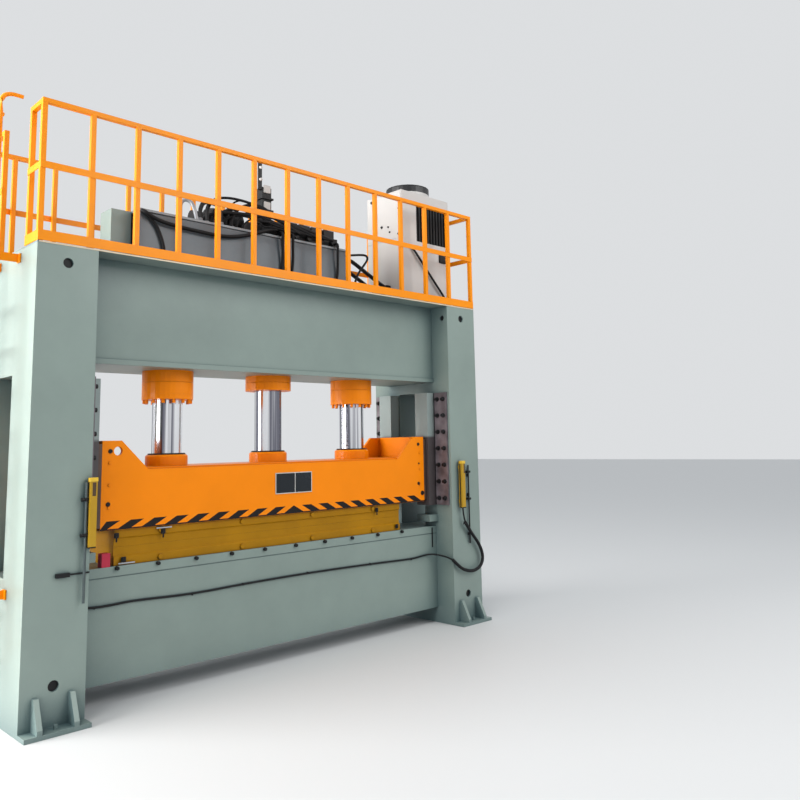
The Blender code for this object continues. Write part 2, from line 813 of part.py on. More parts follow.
def make_deck_and_railings():
    """The deck plate on its rear ribs, and the railings round it, open on the left where the ladder lands."""
    deck = box("deck", (-outer_x, 0, deck_bottom_z), (outer_x, deck_rear_y, deck_top_z))
    inner_y = column_depth + seat_gap
    edge_low = (-outer_x + seat_gap, deck_rear_y - deck_edge_thickness, deck_top_z - deck_edge_height)
    edge_high = (outer_x - seat_gap, deck_rear_y - seat_gap, deck_top_z - weld_bite)
    ribs = [box("edge", edge_low, edge_high)]
    rib_count = int(2 * outer_x / deck_rib_spacing)
    rib_pitch = (2 * outer_x - deck_edge_thickness - 2 * seat_gap) / rib_count
    outline = [
        (inner_y, deck_bottom_z + weld_bite), (deck_rear_y - weld_bite, deck_bottom_z + weld_bite),
        (deck_rear_y - weld_bite, deck_top_z - deck_edge_height + seat_gap), (inner_y, deck_bottom_z - deck_overhang),
    ]
    for i in range(rib_count + 1):
        near = -outer_x + 2 * seat_gap + i * rib_pitch
        ribs.append(prism("rib", outline, "x", near, near + deck_edge_thickness - seat_gap))
    weld(deck, ribs)
    finish(deck, "deck_plate", frame_green, 0.0, 0.55)

    pitch = 2 * rail_centre / post_bays
    places = [-rail_centre + i * pitch for i in range(post_bays + 1)]
    rear_places = [-rail_centre, rail_centre]
    rear_places += [-rail_centre + rear_post_inset + i * rear_post_pitch for i in range(post_bays)]
    half = post_size / 2
    band_out = band_thickness - band_bite
    post_line("railing_front", "x", half + band_out, -outer_x, outer_x, places, -1)
    post_line("railing_rear", "x", deck_rear_y - half - band_out, -outer_x, outer_x, rear_places, 1)
    near = post_size + band_out + seat_gap
    far = deck_rear_y - post_size - band_out - seat_gap
    side_line = rail_centre - band_out
    bay = (far - near) / 4
    post_line("railing_right", "y", side_line, near, far, (near + bay, near + 2 * bay, far - bay), 1)
    post_line("railing_left_front", "y", -side_line, near, left_return + half, (left_return,), -1)
    rear_post = ladder_front_y + ladder_width + post_size * 2
    last_post = (rear_post + far) / 2
    post_line("railing_left_rear", "y", -side_line, rear_post - half, far, (rear_post, last_post), -1)


def make_ladder():
    """The side ladder: flat stringers on wall brackets, round rungs, and tubes that bend over onto the deck."""
    line_x = -outer_x - ladder_standoff
    top_z = column_height
    ladder = None
    pieces = []
    for place in (ladder_front_y, ladder_front_y + ladder_width):
        low = (line_x - stringer_width / 2, place - stringer_thickness / 2, ladder_bottom_z)
        high = (line_x + stringer_width / 2, place + stringer_thickness / 2, top_z)
        stringer = box("stringer", low, high)
        if ladder is None:
            ladder = stringer
        else:
            pieces.append(stringer)
        crown = stand_z + hoop_rise
        route = [
            (line_x, place, top_z - bracket_height), (line_x, place, crown - 2 * hoop_bend),
            (line_x, place, crown - hoop_bend),
            (line_x + hoop_bend * hoop_bend_share, place, crown - hoop_bend * hoop_bend_share),
            (line_x + hoop_bend, place, crown), (line_x + 2 * hoop_bend, place, crown),
        ]
        pieces.append(tube("hoop", route, hoop_radius, cord_steps))
        for z in (lower_bracket_z, column_height - upper_bracket_drop):
            low = (line_x - stringer_width / 4, place - stringer_thickness / 2 + seat_gap * 3, z)
            high = (-outer_x - seat_gap, place + stringer_thickness / 2 - seat_gap * 3, z + bracket_height)
            pieces.append(box("bracket", low, high))
            low = (-outer_x - seat_gap - stringer_thickness, place - bracket_height / 2, z - weld_bite)
            high = (-outer_x - seat_gap, place + bracket_height / 2, z + bracket_height + weld_bite)
            pieces.append(box("pad", low, high))
    rungs = int((top_z - ladder_bottom_z) / rung_pitch)
    for i in range(rungs):
        start = (line_x, ladder_front_y - stringer_thickness / 4, ladder_bottom_z + rung_pitch * (i + 0.5))
        length = ladder_width + stringer_thickness / 2
        pieces.append(rod_between("rung", start, "y", length, rung_radius, rung_sides))
    weld(ladder, pieces)
    return finish(ladder, "ladder", railing_orange, 0.0, 0.4)


def make_hydraulic_set():
    """The oil tank with its lid, two finned motors with pumps, the valve manifold, a valve stack and hoses."""
    tank = box("tank", (tank_left_x, tank_front_y, stand_z), (tank_right_x, tank_rear_y, tank_top_z))
    finish(tank, "oil_tank", tank_grey, 0.0, 0.45)
    low = (tank_left_x - lid_overhang, tank_front_y - lid_overhang, lid_bottom_z)
    high = (tank_right_x + lid_overhang, tank_rear_y + lid_overhang, lid_top_z)
    lid = box("lid", low, high)
    start = (tank_left_x + 3 * filler_radius, tank_rear_y - 2 * filler_radius, lid_top_z - weld_bite)
    weld(lid, [rod_between("filler", start, "z", filler_height, filler_radius, small_round_sides)])
    finish(lid, "tank_lid", tank_grey, 0.0, 0.4)

    y = tank_rear_y - motor_rear_gap
    z = set_z + motor_foot + motor_radius * motor_rest_share
    for number, inset in enumerate(motor_insets, 1):
        left = tank_left_x + inset
        body = rod_between("motor", (left, y, z), "x", motor_length, motor_radius, small_round_sides)
        pieces = []
        wide = motor_length * fin_zone_share / fin_count
        for i in range(fin_count):
            start = (left + motor_length * fin_start_share + i * wide, y, z)
            fin_radius = motor_radius + fin_height
            pieces.append(rod_between("fin", start, "x", wide * fin_share, fin_radius, small_round_sides))
        foot_half = motor_radius * motor_foot_width_share
        low = (left + motor_length * motor_foot_inset_share, y - foot_half, set_z)
        high = (left + motor_length * (1 - motor_foot_inset_share), y + foot_half, set_z + motor_foot * 2)
        pieces.append(box("foot", low, high))
        start = (left - pump_length, y, z)
        pieces.append(rod_between("pump", start, "x", pump_length + weld_bite, pump_radius, small_round_sides))
        weld(body, pieces)
        finish(body, f"pump_motor_{number}", black, 0.1, 0.45)

    manifold_left = tank_left_x + manifold_inset
    front = tank_front_y + manifold_front_gap
    rear = front + manifold_depth
    high = (manifold_left + manifold_length, rear, set_z + manifold_height)
    manifold = box("manifold", (manifold_left, front, set_z), high)
    pitch = manifold_length / valve_count
    valves = []
    for i in range(valve_count):
        mid = manifold_left + (i + 0.5) * pitch
        rise = valve_height * (1 if i else short_valve_share)
        valve_low = (mid - valve_width / 2, front + solenoid_length, set_z + manifold_height - weld_bite)
        valve_high = (mid + valve_width / 2, rear - solenoid_length, set_z + manifold_height + rise)
        valves.append(box("valve", valve_low, valve_high))
        start = (mid, front - solenoid_length, set_z + manifold_height / 2)
        length = solenoid_length + weld_bite
        valves.append(rod_between("solenoid", start, "y", length, solenoid_radius, small_round_sides))
    weld(manifold, valves)
    finish(manifold, "valve_manifold", black, 0.3, 0.4)

    stack_left = tank_left_x + stack_inset
    low = (stack_left, front, set_z)
    high = (stack_left + stack_width, front + stack_width, set_z + stack_height)
    stack = box("stack", low, high)
    steps = []
    for i in range(stack_step_count):
        z = set_z + stack_height * (i + 1) / (stack_step_count + 1)
        step_low = (low[0] - stack_step, low[1] - stack_step, z)
        step_high = (high[0] + stack_step, high[1] + stack_step, z + stack_step)
        steps.append(box("step", step_low, step_high))
    weld(stack, steps)
    finish(stack, "valve_stack", black, 0.3, 0.4)

    for i in range(len(hose_insets)):
        start_x = tank_left_x + hose_insets[i]
        y = tank_front_y + hose_front_gap + i * hose_pitch
        route = [(start_x + hose_reaches[i] * u, y, set_z + hose_rises[i] * v) for u, v in hose_route_shares]
        hose = tube("hose", route, hose_radius, cord_steps)
        finish(hose, f"pressure_hose_{i + 1}", black, 0.0, 0.5, True)

    cupboard_right = tank_left_x - cupboard_gap
    low = (cupboard_right - cupboard_length, cupboard_front_y, stand_z)
    high = (cupboard_right, cupboard_front_y + cupboard_depth, stand_z + cupboard_height)
    finish(box("box", low, high), "filter_box", frame_green, 0.0, 0.5)


def make_chiller():
    """The oil chiller: a cabinet with a slatted front opening, a fan under a guard on top, and two pipes."""
    low = (chiller_left_x, chiller_front_y, stand_z)
    high = (chiller_right_x, chiller_rear_y, chiller_top_z)
    cabinet = box("cabinet", low, high)
    grille_left = chiller_left_x + grille_left_inset
    grille_right = chiller_right_x - grille_right_inset
    grille_top = chiller_top_z - grille_top_drop
    grille_bottom = grille_top - grille_height
    low = (grille_left, chiller_front_y - cut_overrun, grille_bottom)
    high = (grille_right, chiller_front_y + grille_recess, grille_top)
    cut(cabinet, [box("recess", low, high)])
    finish(cabinet, "chiller_cabinet", white, 0.0, 0.5)

    left = grille_left + seat_gap
    right = grille_right - seat_gap
    bottom = grille_bottom + seat_gap
    top = grille_top - seat_gap
    back = chiller_front_y + grille_recess - seat_gap
    grille = box("grille", (left, back - grille_back, bottom), (right, back, top))
    pieces = []
    for near, far in ((left, left + grille_frame), (right - grille_frame, right)):
        pieces.append(box("side", (near, chiller_front_y, bottom), (far, back - weld_bite, top)))
    pitch = (right - left - grille_frame) / (slat_count + 1)
    for i in range(slat_count):
        near = left + grille_frame / 2 + pitch * (i + 1) - pitch * slat_share / 2
        slat_low = (near, chiller_front_y + grille_frame / 4, bottom + seat_gap)
        slat_high = (near + pitch * slat_share, back - weld_bite, top - seat_gap)
        pieces.append(box("slat", slat_low, slat_high))
    weld(grille, pieces)
    finish(grille, "condenser_grille", black, 0.2, 0.5)

    base = chiller_top_z + seat_gap
    crown = base + shroud_height
    inner = shroud_radius - shroud_wall
    profile = [
        (fan_shaft_radius + shroud_wall, base), (shroud_radius, base), (shroud_radius, crown), (inner, crown),
        (inner, base + shroud_wall), (fan_shaft_radius + shroud_wall, base + shroud_wall),
    ]
    shroud = turned("shroud", profile, (chiller_x, chiller_y, 0), round_sides)
    finish(shroud, "fan_shroud", white, 0.0, 0.5)

    guard = None
    rings = []
    for i in range(guard_ring_count):
        radius = shroud_radius * (i + 1) / guard_ring_count
        profile = [
            (radius - guard_ring_width, crown + seat_gap), (radius, crown + seat_gap),
            (radius, crown + seat_gap + guard_height), (radius - guard_ring_width, crown + seat_gap + guard_height),
        ]
        ring = turned("ring", profile, (chiller_x, chiller_y, 0), guard_sides)
        if guard is None:
            guard = ring
        else:
            rings.append(ring)
    for i in range(guard_spoke_count // 2):
        bm = bmesh.new()
        bmesh.ops.create_cube(bm, size=1.0)
        angle = math.pi * i / (guard_spoke_count // 2)
        for vert in bm.verts:
            along = vert.co.x * 2 * (shroud_radius - guard_ring_width / 2)
            across = vert.co.y * guard_ring_width
            x = along * math.cos(angle) - across * math.sin(angle)
            y = along * math.sin(angle) + across * math.cos(angle)
            z = crown + seat_gap + guard_height * (0.5 + guard_spoke_share * vert.co.z)
            vert.co = (chiller_x + x, chiller_y + y, z)
        rings.append(mesh_object("spoke", bm))
    weld(guard, rings)
    finish(guard, "fan_guard", black, 0.3, 0.4)

    hub_low = base + shroud_wall + seat_gap
    fan = rod_between(
        "fan", (chiller_x, chiller_y, hub_low), "z", fan_rise + fan_hub_height, fan_hub_radius, small_round_sides,
    )
    blades = []
    root = fan_hub_radius * fan_blade_root_share
    tip = inner - fan_tip_gap
    for i in range(fan_blade_count):
        bm = bmesh.new()
        bmesh.ops.create_cube(bm, size=1.0)
        angle = math.tau * i / fan_blade_count
        pitch = math.radians(fan_pitch_deg)
        for vert in bm.verts:
            along = root + (vert.co.x + 0.5) * (tip - root)
            wide = vert.co.y * (fan_blade_root_width if vert.co.x < 0 else fan_blade_tip_width)
            thick = vert.co.z * fan_blade_thickness
            across = wide * math.cos(pitch) - thick * math.sin(pitch)
            lift = wide * math.sin(pitch) + thick * math.cos(pitch)
            x = along * math.cos(angle) - across * math.sin(angle)
            y = along * math.sin(angle) + across * math.cos(angle)
            z = hub_low + fan_rise + fan_hub_height / 2 + lift
            vert.co = (chiller_x + x, chiller_y + y, z)
        blades.append(mesh_object("blade", bm))
    weld(fan, blades)
    finish(fan, "chiller_fan", black, 0.1, 0.4)

    near_x = tank_right_x + seat_gap
    far_x = chiller_left_x - seat_gap
    run = far_x - near_x
    for i in (0, 1):
        y = tank_front_y + pipe_front_gap + i * pipe_pitch
        start_z = stand_z + pipe_start_rise - i * pipe_pitch
        route = [(near_x + run * u, y, start_z - pipe_drop * v) for u, v in pipe_route_shares]
        pipe = tube("pipe", route, hose_radius, cord_steps)
        finish(pipe, f"chiller_pipe_{i + 1}", black, 0.0, 0.5, True)


def make_front_fittings():
    """The light guards, blank plates, end block, oiler and the sensor cable clipped along the bed."""
    left_x = -half_span - left_curtain_inset
    right_x = half_span + right_curtain_inset
    for name, x in (("light_guard_left", left_x), ("light_guard_right", right_x)):
        near = -curtain_standoff - curtain_depth
        low = (x - curtain_width / 2, near, curtain_bottom_z)
        high = (x + curtain_width / 2, -curtain_standoff, curtain_top_z)
        bar = box(name, low, high)
        arms = []
        for z in (curtain_bottom_z + curtain_width, curtain_top_z - curtain_width - curtain_bracket_height):
            arm_low = (x - curtain_width / 4, -curtain_standoff - weld_bite, z)
            arm_high = (x + curtain_width / 4, -seat_gap, z + curtain_bracket_height)
            arms.append(box("arm", arm_low, arm_high))
        weld(bar, arms)
        finish(bar, name, curtain_yellow, 0.0, 0.4)
    rod_x = half_span + curtain_rod_inset
    rod_length = curtain_rod_top_z - curtain_rod_bottom_z
    start = (rod_x, -curtain_standoff, curtain_rod_bottom_z)
    holder = rod_between("holder", start, "z", rod_length, curtain_rod_radius, bolt_sides)
    feet = []
    for share in curtain_rod_foot_shares:
        z = curtain_rod_bottom_z + rod_length * share
        foot_low = (rod_x - curtain_rod_foot_width / 2, -curtain_standoff, z)
        foot_high = (rod_x + curtain_rod_foot_width / 2, -seat_gap, z + curtain_bracket_height)
        feet.append(box("foot", foot_low, foot_high))
    weld(holder, feet)
    finish(holder, "sensor_rod", black, 0.5, 0.4)

    face = girder_inset - seat_gap
    bottom = slide_bottom_z + plate_rise
    top = bottom + plate_height
    plate = box("plate", (plate_left_x, face - plate_thickness, bottom), (plate_right_x, face, top))
    middle = (plate_left_x + plate_right_x) / 2
    low = (middle - plate_split / 2, face - plate_thickness * 2, bottom - plate_split)
    high = (middle + plate_split / 2, face - plate_thickness / 2, top + plate_split)
    cut(plate, [box("split", low, high)])
    finish(plate, "blank_plates", black, 0.3, 0.4)

    block_x = -slide_half_length + end_block_inset
    low = (block_x, girder_inset, bed_top_z + seat_gap)
    high = (block_x + end_block_width, girder_inset + end_block_width, bed_top_z + end_block_height)
    finish(box("block", low, high), "end_block", red, 0.0, 0.5)

    oiler_x = -half_span - oiler_inset
    low = (oiler_x, -oiler_height, oiler_z - oiler_height / 2)
    high = (oiler_x + oiler_width, -seat_gap, oiler_z + oiler_height / 2)
    oiler = box("oiler", low, high)
    start = (oiler_x + oiler_width - weld_bite, -oiler_height / 2, oiler_z)
    weld(oiler, [rod_between("line", start, "x", oiler_tube_length, oiler_tube_radius, bolt_sides)])
    finish(oiler, "grease_fitting", black, 0.3, 0.4)

    cable_y = girder_inset - cable_radius - cable_gap
    route = [(half_span * share, cable_y, z) for share, z in zip(cable_bed_shares, cable_bed_heights)]
    route += [(half_span + x, y, z) for x, y, z in cable_loop]
    finish(tube("cable", route, cable_radius, cable_steps), "sensor_cable", black, 0.0, 0.5, True)


def centre_on_floor():
    """Move everything together, so that the middle of the whole box stands over the origin."""
    bpy.context.view_layer.update()
    corners = [item.matrix_world @ vert.co for item in press.objects for vert in item.data.vertices]
    shift = [-(min(c[n] for c in corners) + max(c[n] for c in corners)) / 2 for n in (0, 1)]
    for item in press.objects:
        for vert in item.data.vertices:
            vert.co.x += shift[0]
            vert.co.y += shift[1]
    fan_place = (chiller_x + shift[0], chiller_y + shift[1], chiller_top_z)
    fan = bpy.data.objects["chiller_fan"]
    for vert in fan.data.vertices:
        for n in range(3):
            vert.co[n] -= fan_place[n]
    fan.location = fan_place


make_column("column_left", -1)
make_column("column_right", 1)
make_girder()
make_bed()
make_tools()
make_slide()
for cylinder_number in (1, 2, 3):
    make_cylinder(cylinder_number)
make_guides()
make_deck_and_railings()
make_ladder()
make_hydraulic_set()
make_chiller()
make_front_fittings()
centre_on_floor()
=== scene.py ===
import math

import bmesh
import bpy
from mathutils import Matrix, Vector


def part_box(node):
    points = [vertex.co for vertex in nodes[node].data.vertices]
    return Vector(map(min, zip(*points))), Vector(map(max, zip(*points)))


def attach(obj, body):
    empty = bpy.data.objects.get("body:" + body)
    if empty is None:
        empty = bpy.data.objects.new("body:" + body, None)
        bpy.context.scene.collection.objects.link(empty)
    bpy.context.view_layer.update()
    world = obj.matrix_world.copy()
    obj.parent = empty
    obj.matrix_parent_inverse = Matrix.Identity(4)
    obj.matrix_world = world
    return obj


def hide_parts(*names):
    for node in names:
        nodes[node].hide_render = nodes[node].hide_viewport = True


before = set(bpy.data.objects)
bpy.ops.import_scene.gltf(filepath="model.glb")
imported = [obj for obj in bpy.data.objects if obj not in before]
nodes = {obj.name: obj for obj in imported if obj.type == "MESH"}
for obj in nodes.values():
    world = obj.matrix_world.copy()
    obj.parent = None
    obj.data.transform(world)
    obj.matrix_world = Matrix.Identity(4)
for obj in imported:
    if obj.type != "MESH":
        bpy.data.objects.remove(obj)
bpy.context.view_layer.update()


# Welded frame: columns, crosshead, bed and deck are box sections of thick steel plate, welded all round.
# The frame is sprayed in one pale grey green; the deck's darker, duller copy of it is painted shade.
# The stop blocks are welded to the columns, and the filter box on the deck has the same paint.
def add_node(tree, kind, sockets, **settings):
    """Add a shader node, with its settings and the values of its sockets."""
    node = tree.nodes.new("ShaderNode" + kind)
    for name, value in settings.items():
        setattr(node, name, value)
    for socket, value in sockets.items():
        node.inputs[socket].default_value = value
    return node


def add_ramp(tree, factor, low, low_colour, high, high_colour):
    """A ramp from one place and colour to another, led by a factor."""
    node = add_node(tree, "ValToRGB", {})
    for element, position, colour in zip(node.color_ramp.elements, (low, high), (low_colour, high_colour)):
        element.position = position
        element.color = (*colour, 1)
    tree.links.new(factor, node.inputs["Fac"])
    return node


def add_mix(tree, factor, under, over):
    """Lay one colour over another where the factor is 1. The upper one is a colour or a node's socket."""
    node = add_node(tree, "Mix", {}, data_type="RGBA")
    tree.links.new(factor, node.inputs["Factor"])
    tree.links.new(under, node.inputs["A"])
    if isinstance(over, tuple):
        node.inputs["B"].default_value = (*over, 1)
    else:
        tree.links.new(over, node.inputs["B"])
    return node


def paint(
    name, colour, roughness, change, corner_shade_colour, corner_shade_amount,
    metal=0.0, coat=0.0, shine=0.5, edge=0.004, reach=0.07,
):
    """Sprayed paint on plate: cloudy tone, painted shade that darkens the corners, fine orange peel and rounded
    edges.
    """
    material = bpy.data.materials.new(name)
    material.use_nodes = True
    tree = material.node_tree
    shader = tree.nodes["Principled BSDF"]
    shader.inputs["Metallic"].default_value = metal
    shader.inputs["Coat Weight"].default_value = coat
    shader.inputs["Coat Roughness"].default_value = 0.12
    shader.inputs["Specular IOR Level"].default_value = shine
    where = add_node(tree, "TexCoord", {})
    cloud = add_node(tree, "TexNoise", {"Scale": 1.7, "Detail": 6, "Roughness": 0.62})
    tree.links.new(where.outputs["Object"], cloud.inputs["Vector"])
    dark = [c * (1 - change) for c in colour]
    light = [min(c * (1 + change), 1) for c in colour]
    shade = add_ramp(tree, cloud.outputs["Fac"], 0.3, dark, 0.72, light)
    # Painted shade: the colour darkens towards the corner shade colour where ambient occlusion finds corners
    # and recesses.
    corner = add_node(tree, "AmbientOcclusion", {"Distance": reach}, samples=6)
    inner = add_node(
        tree, "MapRange", {"From Min": 0.25, "From Max": 0.85, "To Min": corner_shade_amount, "To Max": 0.0},
    )
    tree.links.new(corner.outputs["AO"], inner.inputs["Value"])
    corner_shaded = add_mix(tree, inner.outputs["Result"], shade.outputs["Color"], corner_shade_colour)
    tree.links.new(corner_shaded.outputs["Result"], shader.inputs["Base Color"])
    fine = add_node(tree, "TexNoise", {"Scale": 60, "Detail": 4})
    tree.links.new(where.outputs["Object"], fine.inputs["Vector"])
    gloss = add_node(
        tree, "MapRange", {"To Min": max(roughness - 0.08, 0.02), "To Max": min(roughness + 0.1, 1)},
    )
    tree.links.new(cloud.outputs["Fac"], gloss.inputs["Value"])
    tree.links.new(gloss.outputs["Result"], shader.inputs["Roughness"])
    soften = add_node(tree, "Bevel", {"Radius": edge}, samples=4)
    peel = add_node(tree, "Bump", {"Strength": 0.06, "Distance": 0.002})
    tree.links.new(fine.outputs["Fac"], peel.inputs["Height"])
    tree.links.new(soften.outputs["Normal"], peel.inputs["Normal"])
    tree.links.new(peel.outputs["Normal"], shader.inputs["Normal"])
    return material


def dress(material, *names):
    """Give pieces of the frame a finish."""
    for name in names:
        for slot_place in nodes[name].material_slots:
            slot_place.material = material


# Painted shade: a wide dark blue green darkening in the frame's corners, recesses and beside the columns.
frame_paint = paint(
    "frame_paint", (0.225, 0.283, 0.252), 0.42, 0.07, (0.04, 0.085, 0.1), 0.85,
    coat=0.12, shine=0.35, reach=0.45,
)
dress(
    frame_paint, "column_left", "column_right", "crosshead", "bed", "stop_block_left", "stop_block_right",
    "filter_box",
)
# Painted shade: the deck paint is a darker copy of the frame's, for the shade under the deck.
deck_shade_paint = paint("deck_shade_paint", (0.17, 0.22, 0.205), 0.55, 0.12, (0.03, 0.06, 0.08), 0.8, shine=0.35)
dress(deck_shade_paint, "deck_plate")


# Bed screws: a row of ten black hexagon screws of steel, just under the front edge of the bed's table.
# They are turned in from the front and hold the table plate to the bed.
def place(bm, name, body, material, smooth=False):
    """Make a piece from a bmesh, give it its finish and let it ride on a body, or stand in the studio."""
    bmesh.ops.recalc_face_normals(bm, faces=bm.faces)
    mesh = bpy.data.meshes.new(name)
    bm.to_mesh(mesh)
    bm.free()
    piece = bpy.data.objects.new(name, mesh)
    bpy.context.scene.collection.objects.link(piece)
    mesh.materials.append(material)
    if smooth:
        mesh.shade_smooth()
    if body is None:
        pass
    else:
        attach(piece, body)
    return piece


def add_round(bm, start, end, radius, sides=24, tip=None):
    """A round bar, a hexagon or a cone between two points, added to a bmesh."""
    start = Vector(start)
    line = Vector(end) - start
    made = bmesh.ops.create_cone(
        bm, cap_ends=True, segments=sides, radius1=radius, radius2=radius if tip is None else tip,
        depth=line.length,
    )["verts"]
    turn = Vector((0, 0, 1)).rotation_difference(line.normalized()).to_matrix().to_4x4()
    bmesh.ops.transform(bm, matrix=Matrix.Translation(start + line / 2) @ turn, verts=made)


black_paint = paint(
    "black_paint", (0.008, 0.008, 0.009), 0.45, 0.25, (0.03, 0.03, 0.028), 0.15, shine=0.25, edge=0.002,
)
bed_low, bed_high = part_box("bed")
bed_face = bed_low[1] + 0.02
tool_low, tool_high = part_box("lower_tool")
hexagon = 6
screw_count = 10
screw_radius = 0.0155
screw_drop = 0.015
screw_reach = 0.024
screw_pitch = (tool_high[0] - tool_low[0] - screw_drop) / (screw_count - 1)
bm = bmesh.new()
for i in range(screw_count):
    x = tool_low[0] + screw_drop + i * screw_pitch
    z = bed_high[2] - screw_drop
    add_round(bm, (x, bed_face, z), (x, bed_face - screw_reach, z), screw_radius, hexagon)
place(bm, "bed_screws", "frame", black_paint)

# Lifting holes: round pockets near the top and the foot of each column's front, and one in its inner side,
# where lifting bars go in. A black disc at the bottom of each is painted shade for the hole's dark inside.
left_low, left_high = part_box("column_left")
right_low, right_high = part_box("column_right")
column_face = -0.625
pocket_depth = 0.03
pocket_drop = 0.122
foot_pocket_height = 0.288
side_pocket_y = -0.548
front_disc_radius = 0.0362
side_disc_radius = 0.0292
disc_height = 0.012
disc_seat = 0.001
bm = bmesh.new()
for low, high, inner_x, side in (
    (left_low, left_high, left_high[0], -1), (right_low, right_high, right_low[0], 1),
):
    x = (low[0] + high[0]) / 2
    bottom_y = column_face + pocket_depth
    for z in (high[2] - pocket_drop, foot_pocket_height):
        add_round(bm, (x, bottom_y + disc_seat, z), (x, bottom_y - disc_height, z), front_disc_radius, 28)
    bottom_x = inner_x + side * pocket_depth
    z = high[2] - pocket_drop
    start = (bottom_x + side * disc_seat, side_pocket_y, z)
    end = (bottom_x - side * disc_height, side_pocket_y, z)
    add_round(bm, start, end, side_disc_radius, 28)
place(bm, "hole_shade_discs", "frame", black_paint)


# Joint gaps: black strips in the upright gaps between the bed and the two columns, painted shade for the gaps.
# They sit across the bed's front and end a little below the table.
def add_block(bm, low, high, bevel=0.0):
    """A box with softened edges, added to a bmesh."""
    made = bmesh.ops.create_cube(bm, size=1.0)["verts"]
    for vert in made:
        for axis in range(3):
            vert.co[axis] = high[axis] if vert.co[axis] > 0 else low[axis]
    if bevel:
        edges = list(dict.fromkeys(edge for vert in made for edge in vert.link_edges))
        bmesh.ops.bevel(bm, geom=edges, offset=bevel, segments=2, affect="EDGES")


gap_strip_width = 0.018
left_gap_strip = (bed_low[0] + 0.002, 0.69, bed_high[2] - 0.004)
right_gap_strip = (bed_high[0] - 0.075, 0.765, bed_high[2] - 0.015)
bm = bmesh.new()
for x, bottom, top in (left_gap_strip, right_gap_strip):
    add_block(bm, (x, bed_face - 0.003, bottom), (x + gap_strip_width, bed_face + 0.002, top), 0.001)
place(bm, "joint_gap_shade", "frame", black_paint)

# Slide: a deep welded box of steel plate with an ear at each end, which carries the upper tool.
# It is sprayed thick and glossy in bright orange enamel, as are the cylinders, gland rings and rod flanges.
# Painted shade: a wide darker orange in the slide's corners and recesses.
orange_paint = paint(
    "orange_paint", (0.93, 0.245, 0.0), 0.34, 0.05, (0.36, 0.085, 0.0), 0.7,
    coat=0.08, shine=0.15, reach=0.28,
)
dress(orange_paint, "slide_beam")
for number in (1, 2, 3):
    dress(orange_paint, f"cylinder_barrel_{number}", f"gland_ring_{number}", f"rod_flange_{number}")

# Hazard stripes: black paint, masked and sprayed on the lower edge of the slide's front.
# They lean in towards the middle from both ends; the black line along the edge below them is painted shade.
slide_low, slide_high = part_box("slide_beam")
plate_low, plate_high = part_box("blank_plates")
tongue = 0.14
stripe_left = slide_low[0] + tongue
stripe_right = slide_high[0] - tongue
slide_face = slide_low[1] + 0.008
paint_lift = 0.0006
stripe_bottom = slide_low[2] + 0.001
shade_line_height = 0.009
stripe_height = 0.066
stripe_width = 0.105
stripe_lean = 0.1
stripe_pitch = 0.19
middle_x = (plate_low[0] + plate_high[0]) / 2
bm = bmesh.new()
for hand in (-1, 1):
    half_length = middle_x - stripe_left if hand < 0 else stripe_right - middle_x
    for i in range(int(half_length / stripe_pitch) + 1):
        near = i * stripe_pitch
        corners = []
        for along, height in (
            (near, shade_line_height), (near + stripe_width, shade_line_height),
            (near + stripe_width - stripe_lean, stripe_height), (near - stripe_lean, stripe_height),
        ):
            along = min(max(along, 0), half_length)
            corners.append((middle_x + hand * along, slide_face - paint_lift, stripe_bottom + height))
        if corners[0][0] != corners[1][0]:
            bm.faces.new([bm.verts.new(corner) for corner in corners])
# Painted shade: the black line along the slide's lower edge.
bm.faces.new([bm.verts.new((x, slide_face - paint_lift, z)) for x, z in (
    (stripe_left, stripe_bottom), (stripe_right, stripe_bottom),
    (stripe_right, stripe_bottom + shade_line_height), (stripe_left, stripe_bottom + shade_line_height),
)])
stripe_paint = paint(
    "stripe_paint", (0.009, 0.007, 0.007), 0.5, 0.2, (0.3, 0.1, 0.0), 0.1, shine=0.2, edge=0.0005,
)
place(bm, "hazard_stripes", "slide", stripe_paint)

# Slide screws: black screws with low round heads near both ends of the slide's front.
# They reach through the front plate and hold the tongues that run in the guides.
head_height = 0.007
big_head = 0.017
small_head = 0.009
end_plug = 0.024
bm = bmesh.new()
for x, z, radius in (
    (-1.557, 1.829, big_head), (-1.565, 1.437, big_head), (1.742, 1.832, big_head),
    (1.745, 1.634, small_head), (1.738, 1.43, big_head), (1.79, 1.33, end_plug),
):
    add_round(bm, (x, slide_face + 0.001, z), (x, slide_face - head_height, z), radius, 20, radius * 0.9)
place(bm, "slide_screws", "slide", black_paint)

# Plates on the slide: two dark anodised sheets with nothing on them, riveted to the middle of its front.
# A thin bright frame of folded strip holds them, with one bar between the two.
plate_black = paint(
    "plate_black", (0.008, 0.012, 0.016), 0.25, 0.3, (0.01, 0.01, 0.01), 0.3, coat=0.2, shine=0.3, edge=0.001,
)
dress(plate_black, "blank_plates")
trim = paint("plate_trim", (0.62, 0.6, 0.56), 0.35, 0.08, (0.3, 0.25, 0.2), 0.2, metal=0.3, edge=0.0005)
trim_width = 0.007
trim_front = plate_low[1] - 0.0012
trim_back = slide_face - 0.0002
trim_bottom = plate_low[2] - trim_width
trim_top = plate_high[2] + trim_width
bar_share = 0.53
bar_x = plate_low[0] + (plate_high[0] - plate_low[0]) * bar_share
bm = bmesh.new()
for low, high in (
    ((plate_low[0] - trim_width, trim_bottom), (plate_low[0], trim_top)),
    ((plate_high[0], trim_bottom), (plate_high[0] + trim_width, trim_top)),
    ((plate_low[0], trim_bottom), (plate_high[0], plate_low[2])),
    ((plate_low[0], plate_high[2]), (plate_high[0], trim_top)),
    ((bar_x - trim_width / 2, plate_low[2]), (bar_x + trim_width / 2, plate_high[2])),
):
    add_block(bm, (low[0], trim_front, low[1]), (high[0], trim_back, high[1]), 0.0004)
place(bm, "plate_trim", "slide", trim)
